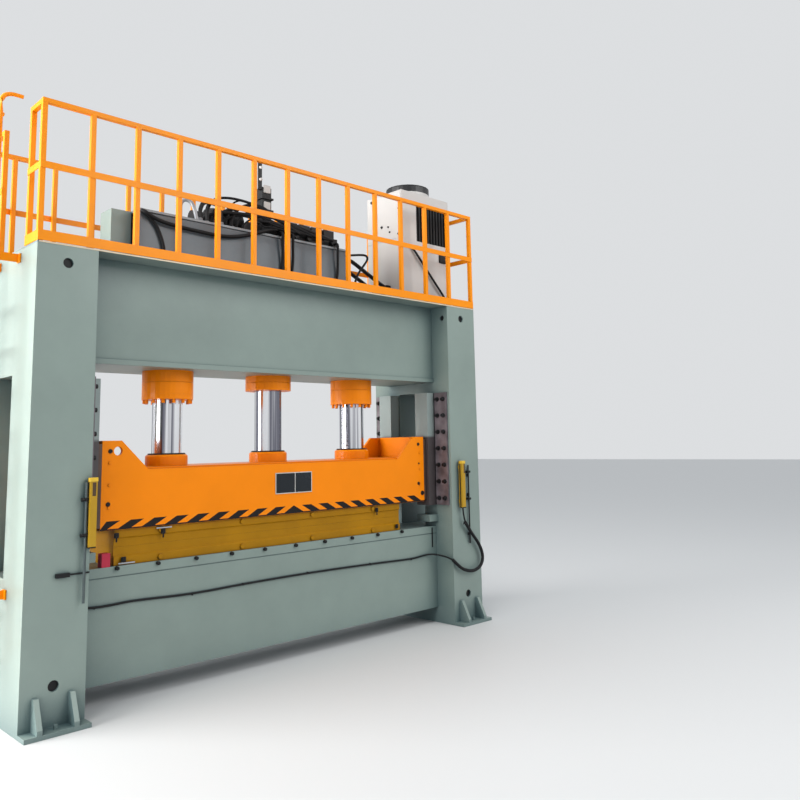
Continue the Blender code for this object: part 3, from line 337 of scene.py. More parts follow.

# Rods: three thick steel bars, ground and hard-chromed, which come down out of the cylinders.
# The chrome is polished, and tall bright and dark streaks in its colour are painted reflection.
# A flange holds each rod to the slide.
chrome = bpy.data.materials.new("rod_chrome")
chrome.use_nodes = True
tree = chrome.node_tree
shader = tree.nodes["Principled BSDF"]
shader.inputs["Metallic"].default_value = 1.0
where = add_node(tree, "TexCoord", {})
stretch = add_node(tree, "Mapping", {"Scale": (26, 26, 0.12)})
tree.links.new(where.outputs["Object"], stretch.inputs["Vector"])
streak = add_node(tree, "TexNoise", {"Scale": 1.0, "Detail": 2.5})
tree.links.new(stretch.outputs["Vector"], streak.inputs["Vector"])
# Painted reflection: bright and dark streaks in the chrome's colour.
reflection_streaks = add_ramp(tree, streak.outputs["Fac"], 0.42, (0.2, 0.2, 0.24), 0.56, (0.93, 0.93, 0.95))
tree.links.new(reflection_streaks.outputs["Color"], shader.inputs["Base Color"])
polish = add_node(tree, "MapRange", {"To Min": 0.1, "To Max": 0.22})
tree.links.new(streak.outputs["Fac"], polish.inputs["Value"])
tree.links.new(polish.outputs["Result"], shader.inputs["Roughness"])
honing = add_node(tree, "Bump", {"Strength": 0.04, "Distance": 0.001})
tree.links.new(streak.outputs["Fac"], honing.inputs["Height"])
tree.links.new(honing.outputs["Normal"], shader.inputs["Normal"])
dress(chrome, "piston_rod_1", "piston_rod_2", "piston_rod_3")


# Scraper rings: seals of moulded black rubber, one round each rod.
# They sit on the rod flanges, travel with the slide and keep dirt off the chrome.
def add_ring(bm, centre, radius, thickness, around, across=8):
    """A level ring of round section, added to a bmesh."""
    rows = []
    for i in range(around):
        a = math.tau * i / around
        row = []
        for j in range(across):
            b = math.tau * j / across
            out = radius + thickness * math.cos(b)
            x = out * math.cos(a) + centre[0]
            y = out * math.sin(a) + centre[1]
            row.append(bm.verts.new((x, y, thickness * math.sin(b) + centre[2])))
        rows.append(row)
    for i in range(around):
        for j in range(across):
            k = (i + 1) % around
            m = (j + 1) % across
            bm.faces.new((rows[i][j], rows[k][j], rows[k][m], rows[i][m]))


rubber = paint(
    "black_rubber", (0.008, 0.008, 0.009), 0.5, 0.2, (0.03, 0.03, 0.028), 0.15, shine=0.2, edge=0.001,
)
ring_height = 0.008
for number in (1, 2, 3):
    low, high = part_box(f"rod_flange_{number}")
    rod_low, rod_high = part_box(f"piston_rod_{number}")
    centre = ((low[0] + high[0]) / 2, (low[1] + high[1]) / 2, high[2] + ring_height / 2)
    bm = bmesh.new()
    add_ring(bm, centre, (rod_high[0] - rod_low[0]) / 2 - ring_height / 2, ring_height, 64)
    place(bm, f"scraper_ring_{number}", "slide", rubber, True)

# Tools: two thick steel blocks in dull mustard paint, with painted shade darkening their corners.
# Short black clamps with a hexagon screw hold them to the slide and to the bed's table.
# The upper ones have a stud below, and each tool has one bright washer plate.
tool_paint = paint(
    "tool_paint", (0.36, 0.165, 0.0), 0.45, 0.16, (0.1, 0.045, 0.0), 0.7, coat=0.05, shine=0.15,
)
dress(tool_paint, "lower_tool", "upper_tool")
washer_steel = paint(
    "washer_steel", (0.42, 0.43, 0.45), 0.3, 0.15, (0.1, 0.1, 0.1), 0.3, metal=0.8, edge=0.001,
)
tool_face = tool_low[1]
upper_clamp_height = 1.2
lower_clamp_height = 1.02
clamp_half = 0.019
clamp_front = tool_face - 0.006
clamp_back = tool_face + 0.002
clamp_below = 0.018
clamp_above = 0.022
clamp_screw_rise = 0.004
clamp_screw_radius = 0.011
stud_radius = 0.006
for name, body, clamp_places, z in (
    ("upper_clamps", "slide", (-1.49, -1.112, 1.15), upper_clamp_height),
    ("lower_clamps", "frame", (-1.43, 1.42), lower_clamp_height),
):
    bm = bmesh.new()
    for x in clamp_places:
        low = (x - clamp_half, clamp_front, z - clamp_below)
        high = (x + clamp_half, clamp_back, z + clamp_above)
        add_block(bm, low, high, 0.003)
    for x in clamp_places:
        screw_z = z + clamp_screw_rise
        add_round(
            bm, (x, tool_face - 0.005, screw_z), (x, tool_face - 0.012, screw_z), clamp_screw_radius, hexagon,
        )
        if body == "slide":
            stud_y = tool_face - 0.004
            add_round(bm, (x, stud_y, z - 0.014), (x, stud_y, z - 0.046), stud_radius, 12)
    place(bm, name, body, black_paint)
for name, body, left, right, bottom, top in (
    ("upper_washers", "slide", -1.17, -1.04, 1.2245, 1.234),
    ("lower_washers", "frame", -1.47, -1.34, 0.99, 0.9995),
):
    bm = bmesh.new()
    add_block(bm, (left, tool_face - 0.005, bottom), (right, tool_face + 0.001, top), 0.001)
    place(bm, name, body, washer_steel)


# Guides: painted steel blocks on the columns, each with a bare milled gib strip behind a dark seam.
# Two rows of black screws clamp each gib. The slide's bronze wear plates run against the blocks.
# Below the top of the slide the blocks are painted darker, a painted shade from the slide beside them.
def find_place(tree):
    """Nodes that tell where a point of the press lies, whole and split into X, Y and Z."""
    spot = add_node(tree, "TexCoord", {})
    split = add_node(tree, "SeparateXYZ", {})
    tree.links.new(spot.outputs["Object"], split.inputs["Vector"])
    return spot, split


guide_steel = paint(
    "guide_steel", (0.255, 0.305, 0.29), 0.42, 0.1, (0.03, 0.025, 0.025), 0.7, edge=0.002,
)
front_rail_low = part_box("guide_rail_right_front")[0]
rear_rail_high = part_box("guide_rail_right_rear")[1]
gib_width = 0.17
rails_middle = (front_rail_low[1] + rear_rail_high[1]) / 2
gib_reach = (rear_rail_high[1] - front_rail_low[1]) / 2 - gib_width
tree = guide_steel.node_tree
base_colour = tree.nodes["Principled BSDF"].inputs["Base Color"]
spot, split = find_place(tree)
shift = add_node(tree, "Math", {1: rails_middle}, operation="SUBTRACT")
tree.links.new(split.outputs["Y"], shift.inputs[0])
away = add_node(tree, "Math", {}, operation="ABSOLUTE")
tree.links.new(shift.outputs["Value"], away.inputs[0])
on_gib = add_node(tree, "Math", {1: gib_reach + 0.001}, operation="GREATER_THAN")
tree.links.new(away.outputs["Value"], on_gib.inputs[0])
milled = add_node(tree, "TexNoise", {"Scale": 9, "Detail": 5})
tree.links.new(spot.outputs["Object"], milled.inputs["Vector"])
bare = add_ramp(tree, milled.outputs["Fac"], 0.3, (0.07, 0.055, 0.06), 0.7, (0.2, 0.165, 0.18))
# Painted shade: the blocks darken below the top of the slide.
slide_shade_top = slide_high[2]
below = add_node(
    tree, "MapRange",
    {"From Min": slide_shade_top - 0.01, "From Max": slide_shade_top + 0.015, "To Min": 0.92, "To Max": 0.0},
)
tree.links.new(split.outputs["Z"], below.inputs["Value"])
shaded_below_slide = add_mix(tree, below.outputs["Result"], base_colour.links[0].from_socket, (0.045, 0.03, 0.032))
finish = add_mix(tree, on_gib.outputs["Value"], shaded_below_slide.outputs["Result"], bare.outputs["Color"])
tree.links.new(finish.outputs["Result"], base_colour)
wear_bronze = paint(
    "wear_bronze", (0.1, 0.06, 0.045), 0.4, 0.35, (0.01, 0.008, 0.008), 0.8, metal=0.4, edge=0.002,
)
block_step = 0.02
bolt_rows = 7
bolt_margin = 0.07
bolt_columns = (0.25, 0.72)
washer_radius = 0.024
washer_height = 0.008
bolt_radius = 0.0185
bolt_tip_radius = 0.0165
bolt_height = 0.03
seam_depth = 0.012
seam_width = 0.0015
seam_margin = 0.004
bolts = bmesh.new()
seams = bmesh.new()
for side_name, side in (("left", -1), ("right", 1)):
    for end_name, end in (("front", -1), ("rear", 1)):
        dress(guide_steel, f"guide_rail_{side_name}_{end_name}")
        dress(wear_bronze, f"wear_plate_{side_name}_{end_name}")
        low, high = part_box(f"guide_rail_{side_name}_{end_name}")
        face_x = high[0] - block_step if side > 0 else low[0] + block_step
        edge_y = low[1] if end < 0 else high[1]
        for i in range(bolt_rows):
            z = low[2] + bolt_margin + (high[2] - low[2] - 2 * bolt_margin) * i / (bolt_rows - 1)
            for share in bolt_columns:
                y = edge_y - end * gib_width * share
                foot = (face_x, y, z)
                add_round(bolts, foot, (face_x - side * washer_height, y, z), washer_radius, 20)
                add_round(bolts, foot, (face_x - side * bolt_height, y, z), bolt_radius, 16, bolt_tip_radius)
        seam_y = edge_y - end * gib_width
        seam_xs = sorted((face_x - side * seam_depth, face_x))
        seam_ys = sorted((seam_y + end * seam_width, seam_y))
        bottom = low[2] + seam_margin
        top = high[2] - seam_margin
        add_block(seams, (seam_xs[0], seam_ys[0], bottom), (seam_xs[1], seam_ys[1], top))
place(bolts, "guide_bolts", "frame", black_paint)
place(seams, "guide_seams", "frame", black_paint)

# Railings and ladder: square tube and flat bar, cut to length and welded, then bolted to the deck's edge.
# They are sprayed in a yellow orange, a little yellower than the slide.
railing_paint = paint(
    "railing_paint", (0.9, 0.27, 0.0), 0.4, 0.06, (0.45, 0.12, 0.0), 0.5, coat=0.08, shine=0.15, edge=0.003,
)
dress(
    railing_paint, "railing_front", "railing_rear", "railing_right", "railing_left_front",
    "railing_left_rear", "ladder",
)

# Deck edge: the front edge of the deck plate, left with its pale primer.
# It shows as a thin cream line below the toe board of the railing.
cream = paint("deck_edge_paint", (0.7, 0.56, 0.38), 0.5, 0.12, (0.2, 0.15, 0.1), 0.3, edge=0.001)
deck_low, deck_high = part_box("deck_plate")
strip_inset = 0.01
strip_front = deck_low[1] - 0.0015
strip_back = deck_low[1] + 0.001
strip_z = deck_high[2] - 0.0125
bm = bmesh.new()
add_block(
    bm, (deck_low[0] + strip_inset, strip_front, strip_z + 0.001),
    (deck_high[0] - strip_inset, strip_back, strip_z + 0.012), 0.0004,
)
place(bm, "deck_edge_strip", "frame", cream)

# Hydraulic set: an oil tank of folded sheet in grey blue with a paler lid, bolted to the deck.
# The motors, the manifold and the valve stack on it are castings and blocks in black paint, bolted down.
# The black fittings of the chiller and of the sensors have the same paint, and the big hoses are rubber.
tank_paint = paint("tank_paint", (0.085, 0.108, 0.125), 0.4, 0.25, (0.02, 0.025, 0.03), 0.5, coat=0.15)
dress(tank_paint, "oil_tank")
lid_paint = paint("lid_paint", (0.2, 0.225, 0.24), 0.4, 0.15, (0.02, 0.02, 0.02), 0.6, coat=0.2)
dress(lid_paint, "tank_lid")
dress(
    black_paint, "pump_motor_1", "pump_motor_2", "valve_manifold", "valve_stack", "condenser_grille",
    "fan_guard", "chiller_fan", "sensor_rod", "grease_fitting",
)
dress(rubber, "pressure_hose_1", "pressure_hose_2", "pressure_hose_3", "chiller_pipe_1", "chiller_pipe_2")


# Hoses in front of the tank: short black rubber lines that drop from the manifold to the deck.
# One more comes out of the tank's left corner, below the lid, and bends down along the tank's front.
def hose(name, points, radius, material):
    """A smooth round hose, pipe or cable of the frame, through the given points."""
    curve = bpy.data.curves.new(name, "CURVE")
    curve.dimensions = "3D"
    curve.bevel_depth = radius
    curve.bevel_resolution = 5
    curve.use_fill_caps = True
    spline = curve.splines.new("NURBS")
    spline.points.add(len(points) - 1)
    for control, point in zip(spline.points, points):
        control.co = (*point, 1)
    spline.order_u = 3
    spline.use_endpoint_u = True
    spline.resolution_u = 10
    piece = bpy.data.objects.new(name, curve)
    bpy.context.scene.collection.objects.link(piece)
    curve.materials.append(material)
    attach(piece, "frame")
    return piece


tank_low, tank_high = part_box("oil_tank")
manifold_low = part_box("valve_manifold")[0]
drop_radius = 0.013
drop_places = (0.03, 0.085, 0.15, 0.7)
front = tank_low[1] - 0.02
for i, along in enumerate(drop_places):
    x = manifold_low[0] + along
    points = [
        (x, manifold_low[1] + 0.01, manifold_low[2] + 0.03), (x, front - 0.03, manifold_low[2] + 0.05),
        (x, front - 0.025, manifold_low[2] - 0.06), (x + 0.02, front, tank_low[2] + 0.24),
        (x - 0.01, front, tank_low[2] + 0.1), (x, front, tank_low[2] + drop_radius),
    ]
    hose(f"drop_hose_{i + 1}", points, drop_radius, rubber)
x = tank_low[0] + 0.015
points = [
    (x, front + 0.004, tank_high[2] - 0.006), (x + 0.1, front, tank_high[2] - 0.07),
    (x + 0.17, front, tank_high[2] - 0.2), (x + 0.2, front, tank_high[2] - 0.33),
    (x + 0.2, front, tank_low[2] + 0.011),
]
hose("tank_hose", points, drop_radius, rubber)

# Long hose: a thick rubber line, screwed in at the lid's left corner and at the manifold.
# Nothing holds it in between, so it hangs in one long sag along the tank's front.
lid_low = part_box("tank_lid")[0]
lid_top = tank_high[2] + 0.0206
front = lid_low[1] - 0.024
sag = (
    (0.14, 3.72), (0.26, 3.702), (0.39, 3.692), (0.51, 3.689), (0.68, 3.684), (0.82, 3.69), (1.0, 3.728),
    (1.2, lid_top + 0.01),
)
points = [
    (lid_low[0] + 0.025, lid_low[1] + 0.02, lid_top - 0.01), (lid_low[0] + 0.03, front, lid_top - 0.03),
    *((lid_low[0] + along, front, height) for along, height in sag),
    (manifold_low[0] - 0.05, manifold_low[1] - 0.02, lid_top + 0.05),
    (manifold_low[0] + 0.02, manifold_low[1] + 0.04, lid_top + 0.06),
]
hose("long_hose", points, 0.017, rubber)

# Return pipe: a bent grey steel tube that comes up through the lid, turns over and goes down again in front.
# The bend stands clear of the lid, and both ends are screwed into it.
pipe_grey = paint("pipe_grey", (0.3, 0.32, 0.34), 0.35, 0.1, (0.05, 0.05, 0.05), 0.4, metal=0.4, edge=0.001)
x = lid_low[0] + 0.42
bend = (
    (0, 0.1, -0.004), (0, 0.1, 0.08), (0, 0.1, 0.15), (0.03, 0.08, 0.185), (0.08, 0.05, 0.16),
    (0.11, 0.03, 0.06), (0.12, 0.03, -0.004),
)
points = [(x + along, lid_low[1] + back, lid_top + rise) for along, back, rise in bend]
hose("return_pipe", points, 0.017, pipe_grey)

# Hose nuts: hexagon swivel nuts of grey steel, one at each foot of the three big hose loops.
# They hold the hoses to the lid.
bm = bmesh.new()
for number in (1, 2, 3):
    low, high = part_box(f"pressure_hose_{number}")
    hose_radius = (high[1] - low[1]) / 2
    y = (low[1] + high[1]) / 2
    for x in (low[0] + hose_radius, high[0] - hose_radius):
        add_round(bm, (x, y, lid_top + 0.001), (x, y, lid_top + 0.038), hose_radius * 1.5, hexagon)
place(bm, "hose_nuts", "frame", pipe_grey)

# Thin lines: hard lines and wires in black rubber, of three thicknesses, that climb over motors and valves.
# They leave the manifold, pass round the valve stack and come down along the manifold's front.
stack_low, stack_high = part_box("valve_stack")
line_count = 9
for i in range(line_count):
    side = (i % 3 - 1) * 0.05
    rise = 0.08 + 0.05 * (i % 4)
    start_x = stack_low[0] - 0.2 - 0.045 * i
    points = [
        (start_x, manifold_low[1] + 0.06 + 0.02 * i, manifold_low[2] + 0.01),
        (start_x + 0.02, manifold_low[1] + 0.05 + 0.02 * i, manifold_low[2] + rise),
        (start_x + 0.16, manifold_low[1] + 0.02 + 0.012 * i, manifold_low[2] + rise + 0.08),
        (stack_low[0] - 0.03, manifold_low[1] - 0.01, manifold_low[2] + rise + 0.02 + side),
        (stack_low[0] + 0.1, manifold_low[1] - 0.03, manifold_low[2] + 0.12 + side),
        (manifold_low[0] + 0.1 + 0.07 * i, manifold_low[1] - 0.02, manifold_low[2] + 0.06),
    ]
    hose(f"thin_line_{i + 1}", points, 0.008 + 0.004 * (i % 3), rubber)

# Stack post: a slim black rail that stands on the valve stack, with a short cross piece on top.
# It is painted black, and two round plugs of white plastic are pushed into its front.
post_x = stack_low[0] + 0.012
post_y = stack_low[1] + 0.035
post_left = post_x - 0.03
post_foot = stack_high[2] - 0.03
post_top = 4.5
cross_top = 4.515
bm = bmesh.new()
add_block(bm, (post_left, post_y - 0.012, post_foot), (post_x + 0.006, post_y + 0.012, post_top), 0.003)
add_block(bm, (post_left, post_y - 0.01, post_top), (post_x + 0.03, post_y + 0.01, cross_top), 0.003)
place(bm, "stack_post", "frame", black_paint)
white_look = ((0.56, 0.535, 0.505), 0.45, 0.03, (0.3, 0.28, 0.26), 0.4)
white_paint = paint("white_paint", *white_look)
plug_x = post_x - 0.012
bm = bmesh.new()
for z in (4.33, 4.445):
    add_round(bm, (plug_x, post_y - 0.011, z), (plug_x, post_y - 0.03, z), 0.016, 16, 0.012)
place(bm, "post_plugs", "frame", white_paint)

# Valve plates: two small blank plates of white sheet, screwed to the front of the valve stack.
# One stands a little above the stack's top and one sits lower down.
plate_inset = 0.03
plate_front = stack_low[1] + 0.005
plate_back = stack_low[1] + 0.018
plate_height = 0.075
bm = bmesh.new()
for drop in (-0.02, 0.14):
    top = stack_high[2] - drop
    add_block(
        bm, (stack_low[0] + plate_inset, plate_front, top - plate_height),
        (stack_high[0] - plate_inset, plate_back, top), 0.002,
    )
place(bm, "valve_plates", "frame", white_paint)

# Chiller: a cabinet of white powder-coated sheet, bolted to the deck's right end.
# Its fan blows up through a round shroud on top, a rolled sheet ring with a black upper rim.
dress(white_paint, "chiller_cabinet")
shroud_paint = paint("shroud_paint", *white_look, edge=0.002)
dress(shroud_paint, "fan_shroud")
rim_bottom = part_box("fan_shroud")[0][2] + 0.045
tree = shroud_paint.node_tree
base_colour = tree.nodes["Principled BSDF"].inputs["Base Color"]
spot, split = find_place(tree)
above = add_node(tree, "Math", {1: rim_bottom}, operation="GREATER_THAN")
tree.links.new(split.outputs["Z"], above.inputs[0])
rim = add_mix(tree, above.outputs["Value"], base_colour.links[0].from_socket, (0.008, 0.008, 0.009))
tree.links.new(rim.outputs["Result"], base_colour)

# Chiller knobs: black plastic knobs and plugs, each on a flange, pushed into the cabinet's left end.
# A black handle stands near the front corner, and a black switch box is screwed to the front.
chiller_low, chiller_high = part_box("chiller_cabinet")
handle_half_width = 0.008
handle_half_height = 0.045
switch_half_width = 0.05
switch_half_height = 0.045
bm = bmesh.new()
for back, drop, radius in (
    (0.462, 0.048, 0.014), (0.035, 0.204, 0.014), (0.306, 0.361, 0.013), (0.043, 0.482, 0.014),
    (0.203, 0.377, 0.009), (0.181, 0.437, 0.009),
):
    x = chiller_low[0]
    y = chiller_low[1] + back
    z = chiller_high[2] - drop
    add_round(bm, (x + 0.002, y, z), (x - 0.006, y, z), radius * 1.2, 20)
    add_round(bm, (x - 0.004, y, z), (x - 0.016, y, z), radius, 20, radius * 0.8)
y = chiller_low[1] + 0.024
z = chiller_high[2] - 0.726
add_block(
    bm, (chiller_low[0] - 0.008, y - handle_half_width, z - handle_half_height),
    (chiller_low[0] + 0.001, y + handle_half_width, z + handle_half_height), 0.002,
)
x = chiller_high[0] - 0.12
z = chiller_low[2] + 0.56
add_block(
    bm, (x - switch_half_width, chiller_low[1] - 0.02, z - switch_half_height),
    (x + switch_half_width, chiller_low[1] + 0.001, z + switch_half_height), 0.004,
)
place(bm, "chiller_knobs", "frame", black_paint)

# Chiller panels: thin white sheets, bolted over the openings of the cabinet.
# Two lie above each other on the left end, and one covers the lower half of the front.
panel_margin = 0.012
panel_bottom = chiller_low[2] + 0.06
panel_split = chiller_high[2] - 0.53
panel_bevel = 0.0012
bm = bmesh.new()
for bottom, top in (
    (panel_split + panel_margin / 2, chiller_high[2] - panel_margin),
    (panel_bottom, panel_split - panel_margin / 2),
):
    add_block(
        bm, (chiller_low[0] - 0.003, chiller_low[1] + panel_margin, bottom),
        (chiller_low[0] + 0.002, chiller_high[1] - panel_margin, top), panel_bevel,
    )
add_block(
    bm, (chiller_low[0] + panel_margin, chiller_low[1] - 0.003, panel_bottom),
    (chiller_high[0] - panel_margin, chiller_low[1] + 0.002, panel_split - panel_margin / 2), panel_bevel,
)
place(bm, "chiller_panels", "frame", white_paint)

# Drain hose: a thin rubber hose that leaves the front of the chiller just below the grille.
# It runs down slantwise across the front panel and ends on the deck.
slant = (
    (0.12, 0.004, 3.925), (0.13, -0.016, 3.92), (0.16, -0.03, 3.885), (0.32, -0.03, 3.721),
    (0.44, -0.03, 3.598), (0.6, -0.03, 3.44), (0.67, -0.03, 3.34), (0.68, -0.03, 3.3136),
)
points = [(chiller_low[0] + along, chiller_low[1] + back, height) for along, back, height in slant]
hose("drain_hose", points, 0.012, rubber)

# Overflow loop: a short stiff rubber hose, screwed into the tank's right end.
# It turns back on itself in a tight loop beside the tank and drops to the deck.
loop_y = -0.235
turns = (
    (tank_high[0] - 0.01, 3.745), (tank_high[0] + 0.06, 3.76), (1.15, 3.79), (1.205, 3.785), (1.215, 3.75),
    (1.17, 3.69), (1.108, 3.619), (1.05, 3.53), (1.02, 3.4), (1.02, 3.314),
)
hose("overflow_loop", [(x, loop_y, z) for x, z in turns], 0.0115, rubber)

# Light guards: long yellow aluminium extrusions, screwed upright to the front of both columns.
# Each has a brighter plastic cap on top, a dark lens slot below it and black rubber edge strips.
# The red painted block at the table's left end belongs to the same guarding.
guard_yellow = paint(
    "guard_yellow", (0.44, 0.25, 0.01), 0.35, 0.08, (0.1, 0.06, 0.0), 0.4, coat=0.1, shine=0.3, edge=0.002,
)
dress(guard_yellow, "light_guard_left", "light_guard_right")
cap_yellow = paint("cap_yellow", (0.75, 0.47, 0.03), 0.4, 0.06, (0.2, 0.12, 0.0), 0.3, edge=0.001)
lens_brown = paint("lens_brown", (0.07, 0.035, 0.008), 0.2, 0.2, (0.02, 0.01, 0.0), 0.3, coat=0.4, edge=0.001)
red_paint = paint("red_paint", (0.45, 0.008, 0.04), 0.5, 0.1, (0.1, 0.0, 0.01), 0.4)
dress(red_paint, "end_block")
cap_overhang = 0.003
cap_height = 0.026
cap_depth = 0.03
lens_top = 0.032
lens_bottom = 0.125
edge_depth = 0.034
thin_bevel = 0.0005
caps = bmesh.new()
lenses = bmesh.new()
edges = bmesh.new()
for side_name, lens_from, lens_to in (("left", 0.3, 0.8), ("right", 0.6, 0.95)):
    low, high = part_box(f"light_guard_{side_name}")
    width = high[0] - low[0]
    add_block(
        caps, (low[0] - cap_overhang, low[1] - cap_overhang, high[2] - cap_height),
        (high[0] + cap_overhang, low[1] + cap_depth, high[2] + 0.002), 0.001,
    )
    add_block(
        lenses, (low[0] + width * lens_from, low[1] - 0.0015, high[2] - lens_bottom),
        (low[0] + width * lens_to, low[1] + 0.001, high[2] - lens_top), thin_bevel,
    )
    add_block(
        edges, (low[0] - 0.002, low[1] + 0.02, low[2]),
        (low[0] + 0.003, low[1] + edge_depth, high[2] - 0.03), thin_bevel,
    )
    add_block(
        edges, (low[0], low[1] - 0.001, low[2] - 0.004),
        (high[0], low[1] + edge_depth, low[2] + 0.006), thin_bevel,
    )
place(caps, "guard_caps", "frame", cap_yellow)
place(lenses, "guard_lenses", "frame", lens_brown)
place(edges, "guard_edges", "frame", black_paint)

# Sensor rods: thin upright bars of dull steel beside both light guards.
# Small black plastic clamps hold them, the left ones with a knob that is turned by hand.
rod_grey = paint("rod_grey", (0.05, 0.07, 0.07), 0.5, 0.2, (0.02, 0.02, 0.02), 0.4, edge=0.001)
guard_low, guard_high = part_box("light_guard_left")
rod_x = guard_low[0] - 0.014
rod_y = guard_low[1] + 0.03
rod_foot = 0.8
rod_top = guard_high[2] - 0.03
rod_radius = 0.0095
bm = bmesh.new()
add_round(bm, (rod_x, rod_y, rod_foot), (rod_x, rod_y, rod_top), rod_radius, 20)
place(bm, "left_sensor_rod", "frame", rod_grey)
clamp_half = 0.012
clamp_wall = 0.014
knob_radius = 0.012
knob_top_radius = 0.014
knob_heights = (1.5, 1.257)
bm = bmesh.new()
for z in knob_heights:
    add_block(
        bm, (rod_x - clamp_wall, rod_y - clamp_wall, z - clamp_half),
        (guard_low[0] + 0.002, rod_y + clamp_wall, z + clamp_half), 0.003,
    )
rod_low, rod_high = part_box("sensor_rod")
for z in (rod_high[2] - 0.07, rod_high[2] - 0.35):
    add_block(
        bm, (rod_low[0] - 0.012, rod_low[1] - 0.006, z - clamp_half),
        (rod_high[0] + 0.012, rod_high[1] + 0.002, z + clamp_half), 0.003,
    )
for z in knob_heights:
    add_round(bm, (rod_x - 0.012, rod_y, z), (rod_x - 0.034, rod_y, z), knob_radius, 16, knob_top_radius)
place(bm, "rod_clamps", "frame", black_paint)

# Sensor cable: a thin black rubber cable from behind the left column, clipped along the bed's front.
# At the right column it hangs in a free loop in a thicker sleeve, tied at its end, up to the light guard.
# The points are those of the cable in the part's source, so the cable lies where its solid does.
cable_radius = 0.0083
half_span = 1.89
span_middle = 0.1
bed_cable_y = -0.4038
on_bed = (
    (-0.9905, 0.72), (-0.9312, 0.706), (-0.8466, 0.707), (-0.7672, 0.715), (-0.5132, 0.692),
    (-0.2646, 0.705), (0.0952, 0.71), (0.4921, 0.699), (0.7937, 0.683), (0.8413, 0.689),
)
span_right = 1.99
loop = (
    (-0.22, 0.2212, 0.697), (-0.15, 0.213, 0.703), (-0.08, 0.175, 0.7), (-0.035, 0.08, 0.68),
    (-0.025, -0.01, 0.655), (0.01, -0.035, 0.61), (0.095, -0.045, 0.545), (0.251, -0.045, 0.507),
    (0.38, -0.045, 0.547), (0.42, -0.045, 0.648), (0.36, -0.045, 0.779), (0.24, -0.045, 0.9),
    (0.145, -0.045, 1.02), (0.122, -0.0425, 1.12), (0.12, -0.0425, 1.1695),
)
sleeve_start, sleeve_end = 4, 12
loop_points = [(span_right + x, y + column_face, z) for x, y, z in loop]
points = [(half_span * share + span_middle, bed_cable_y, z) for share, z in on_bed] + loop_points
cable = hose("sensor_lead", points, cable_radius, rubber)
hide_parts("sensor_cable")
sleeve = hose("cable_sleeve", loop_points[sleeve_start:sleeve_end + 1], 0.0165, rubber)
tie_radius = 0.0155
tie_thickness = 0.0045
x, y, z = loop_points[sleeve_end]
bm = bmesh.new()
add_ring(bm, (x, y, z), tie_radius, tie_thickness, 32)
add_ring(bm, (x, y, z - 0.016), tie_radius, tie_thickness, 32)
add_round(bm, (x - 0.012, y - 0.012, z - 0.008), (x - 0.05, y - 0.02, z - 0.014), 0.008, 12, 0.005)
add_round(bm, (x - 0.012, y - 0.012, z + 0.002), (x - 0.032, y - 0.02, z + 0.04), 0.004, 10, 0.002)
tie = place(bm, "cable_tie", "frame", rubber, True)

# Cable clips: six small clips of black plastic, screwed to the bed's front.
# The sensor cable is pressed into them.
clip_half_width = 0.005
clip_half_height = 0.0105
bm = bmesh.new()
for x, z in ((-1.65, 0.706), (-0.86, 0.692), (-0.39, 0.705), (0.29, 0.71), (1.04, 0.699), (1.6, 0.683)):
    add_block(
        bm, (x - clip_half_width, bed_face - 0.0195, z - clip_half_height),
        (x + clip_half_width, bed_face + 0.001, z + clip_half_height), 0.002,
    )
place(bm, "cable_clips", "frame", black_paint)

# Studio floor: a wide plain sheet in a pale dull grey, which isn't part of the press.
# It lies level with the soles of the press's feet.
extent = 60.0
floor_z = 0.0
bm = bmesh.new()
bm.faces.new([bm.verts.new((x, y, floor_z)) for x, y in (
    (-extent, -extent), (extent, -extent), (extent, extent), (-extent, extent),
)])
floor_paint = bpy.data.materials.new("studio_floor")
floor_paint.use_nodes = True
shader = floor_paint.node_tree.nodes["Principled BSDF"]
shader.inputs["Base Color"].default_value = (0.6, 0.6, 0.59, 1)
shader.inputs["Roughness"].default_value = 0.6
place(bm, "studio_floor", None, floor_paint)

# Surroundings: a plain pale studio, which gives a soft bluish light from all round.
# The camera and mirrors see it a little paler than it lights the press.
world = bpy.data.worlds.new("studio")
bpy.context.scene.world = world
world.use_nodes = True
tree = world.node_tree
path = add_node(tree, "LightPath", {})
either = add_node(tree, "Math", {}, operation="MAXIMUM")
tree.links.new(path.outputs["Is Camera Ray"], either.inputs[0])
tree.links.new(path.outputs["Is Glossy Ray"], either.inputs[1])
seen = add_node(tree, "Math", {}, operation="MAXIMUM")
tree.links.new(either.outputs["Value"], seen.inputs[0])
tree.links.new(path.outputs["Is Transmission Ray"], seen.inputs[1])
shade = add_node(tree, "Mix", {}, data_type="RGBA")
shade.inputs["A"].default_value = (0.48, 0.52, 0.57, 1)
shade.inputs["B"].default_value = (0.72, 0.735, 0.75, 1)
tree.links.new(seen.outputs["Value"], shade.inputs["Factor"])
background = tree.nodes["Background"]
tree.links.new(shade.outputs["Result"], background.inputs["Color"])
background.inputs["Strength"].default_value = 1.0

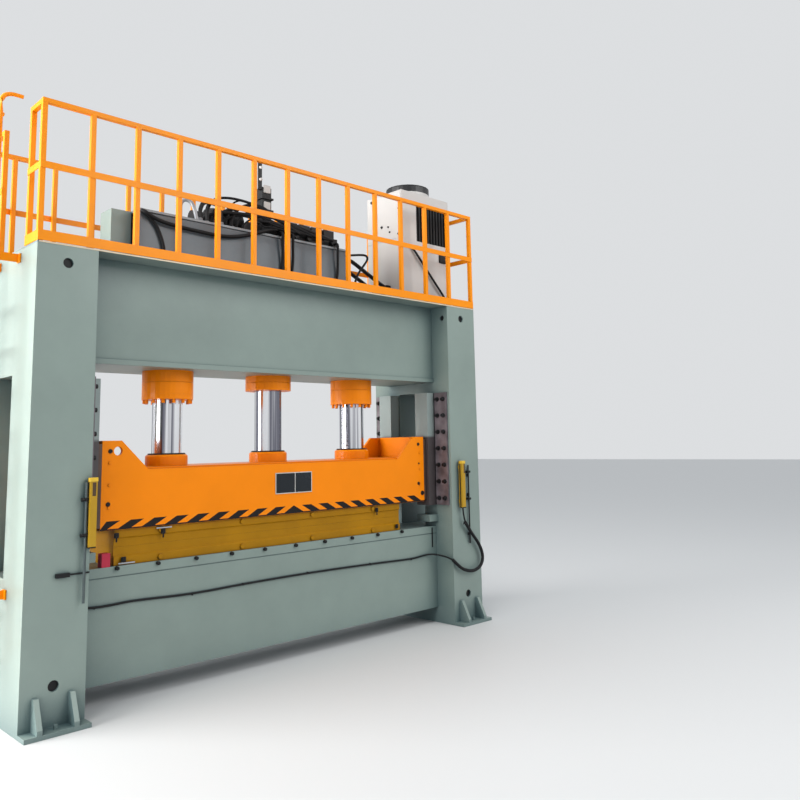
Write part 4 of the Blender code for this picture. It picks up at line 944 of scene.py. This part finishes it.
# Lamps: a wide window and a smaller one on the left, a weaker one high in front on the right, and a soft sun
# through the roof. All of them point at the middle of the press.
lamp_target = Vector((0, 0, 2.2))
for name, kind, spot, size, power in (
    ("window_left", "AREA", (-9.5, 3.5, 4.5), 7.0, 1700),
    ("window_side", "AREA", (-9.0, -1.1, 3.2), 2.6, 420),
    ("window_front", "AREA", (4.5, -9.0, 7.5), 6.0, 500),
    ("roof_light", "SUN", (-4.0, -2.5, 11.0), 0.35, 0.8),
):
    light = bpy.data.lights.new(name, kind)
    light.energy = power
    if kind == "SUN":
        light.angle = size
    else:
        light.size = size
    lamp = bpy.data.objects.new(name, light)
    lamp.location = spot
    lamp.rotation_euler = (lamp_target - Vector(spot)).to_track_quat("-Z", "Y").to_euler()
    bpy.context.scene.collection.objects.link(lamp)
bpy.context.scene.view_settings.view_transform = "Standard"

# Camera: it stands in front of the press and to its left, 1.85 m above its soles, and looks up a little.
# Place, angles, lens and the small shift of the picture were fitted to edges of the press in the photograph.
camera_place = Vector((-4.1765, -6.2155, 1.85))
camera_yaw = math.radians(45.39)
camera_pitch = math.radians(7.418)
camera_roll = math.radians(-1.127)
picture_side = 800
lens_pixels = 788.7
centre_pixel = (403.95, 340.0)
forward = Vector((
    math.cos(camera_yaw) * math.cos(camera_pitch),
    math.sin(camera_yaw) * math.cos(camera_pitch),
    math.sin(camera_pitch),
))
level = forward.cross(Vector((0, 0, 1))).normalized()
upright = level.cross(forward)
right = level * math.cos(camera_roll) + upright * math.sin(camera_roll)
up = upright * math.cos(camera_roll) - level * math.sin(camera_roll)
lens = bpy.data.cameras.new("camera")
lens.sensor_width = 36
lens.lens = lens_pixels / picture_side * lens.sensor_width
lens.shift_x = (picture_side / 2 - centre_pixel[0]) / picture_side
lens.shift_y = (centre_pixel[1] - picture_side / 2) / picture_side
lens.clip_end = 200
camera = bpy.data.objects.new("camera", lens)
bpy.context.scene.collection.objects.link(camera)
camera_turn = Matrix((right, up, -forward)).transposed().to_4x4()
camera.matrix_world = Matrix.Translation(camera_place) @ camera_turn
bpy.context.scene.camera = camera
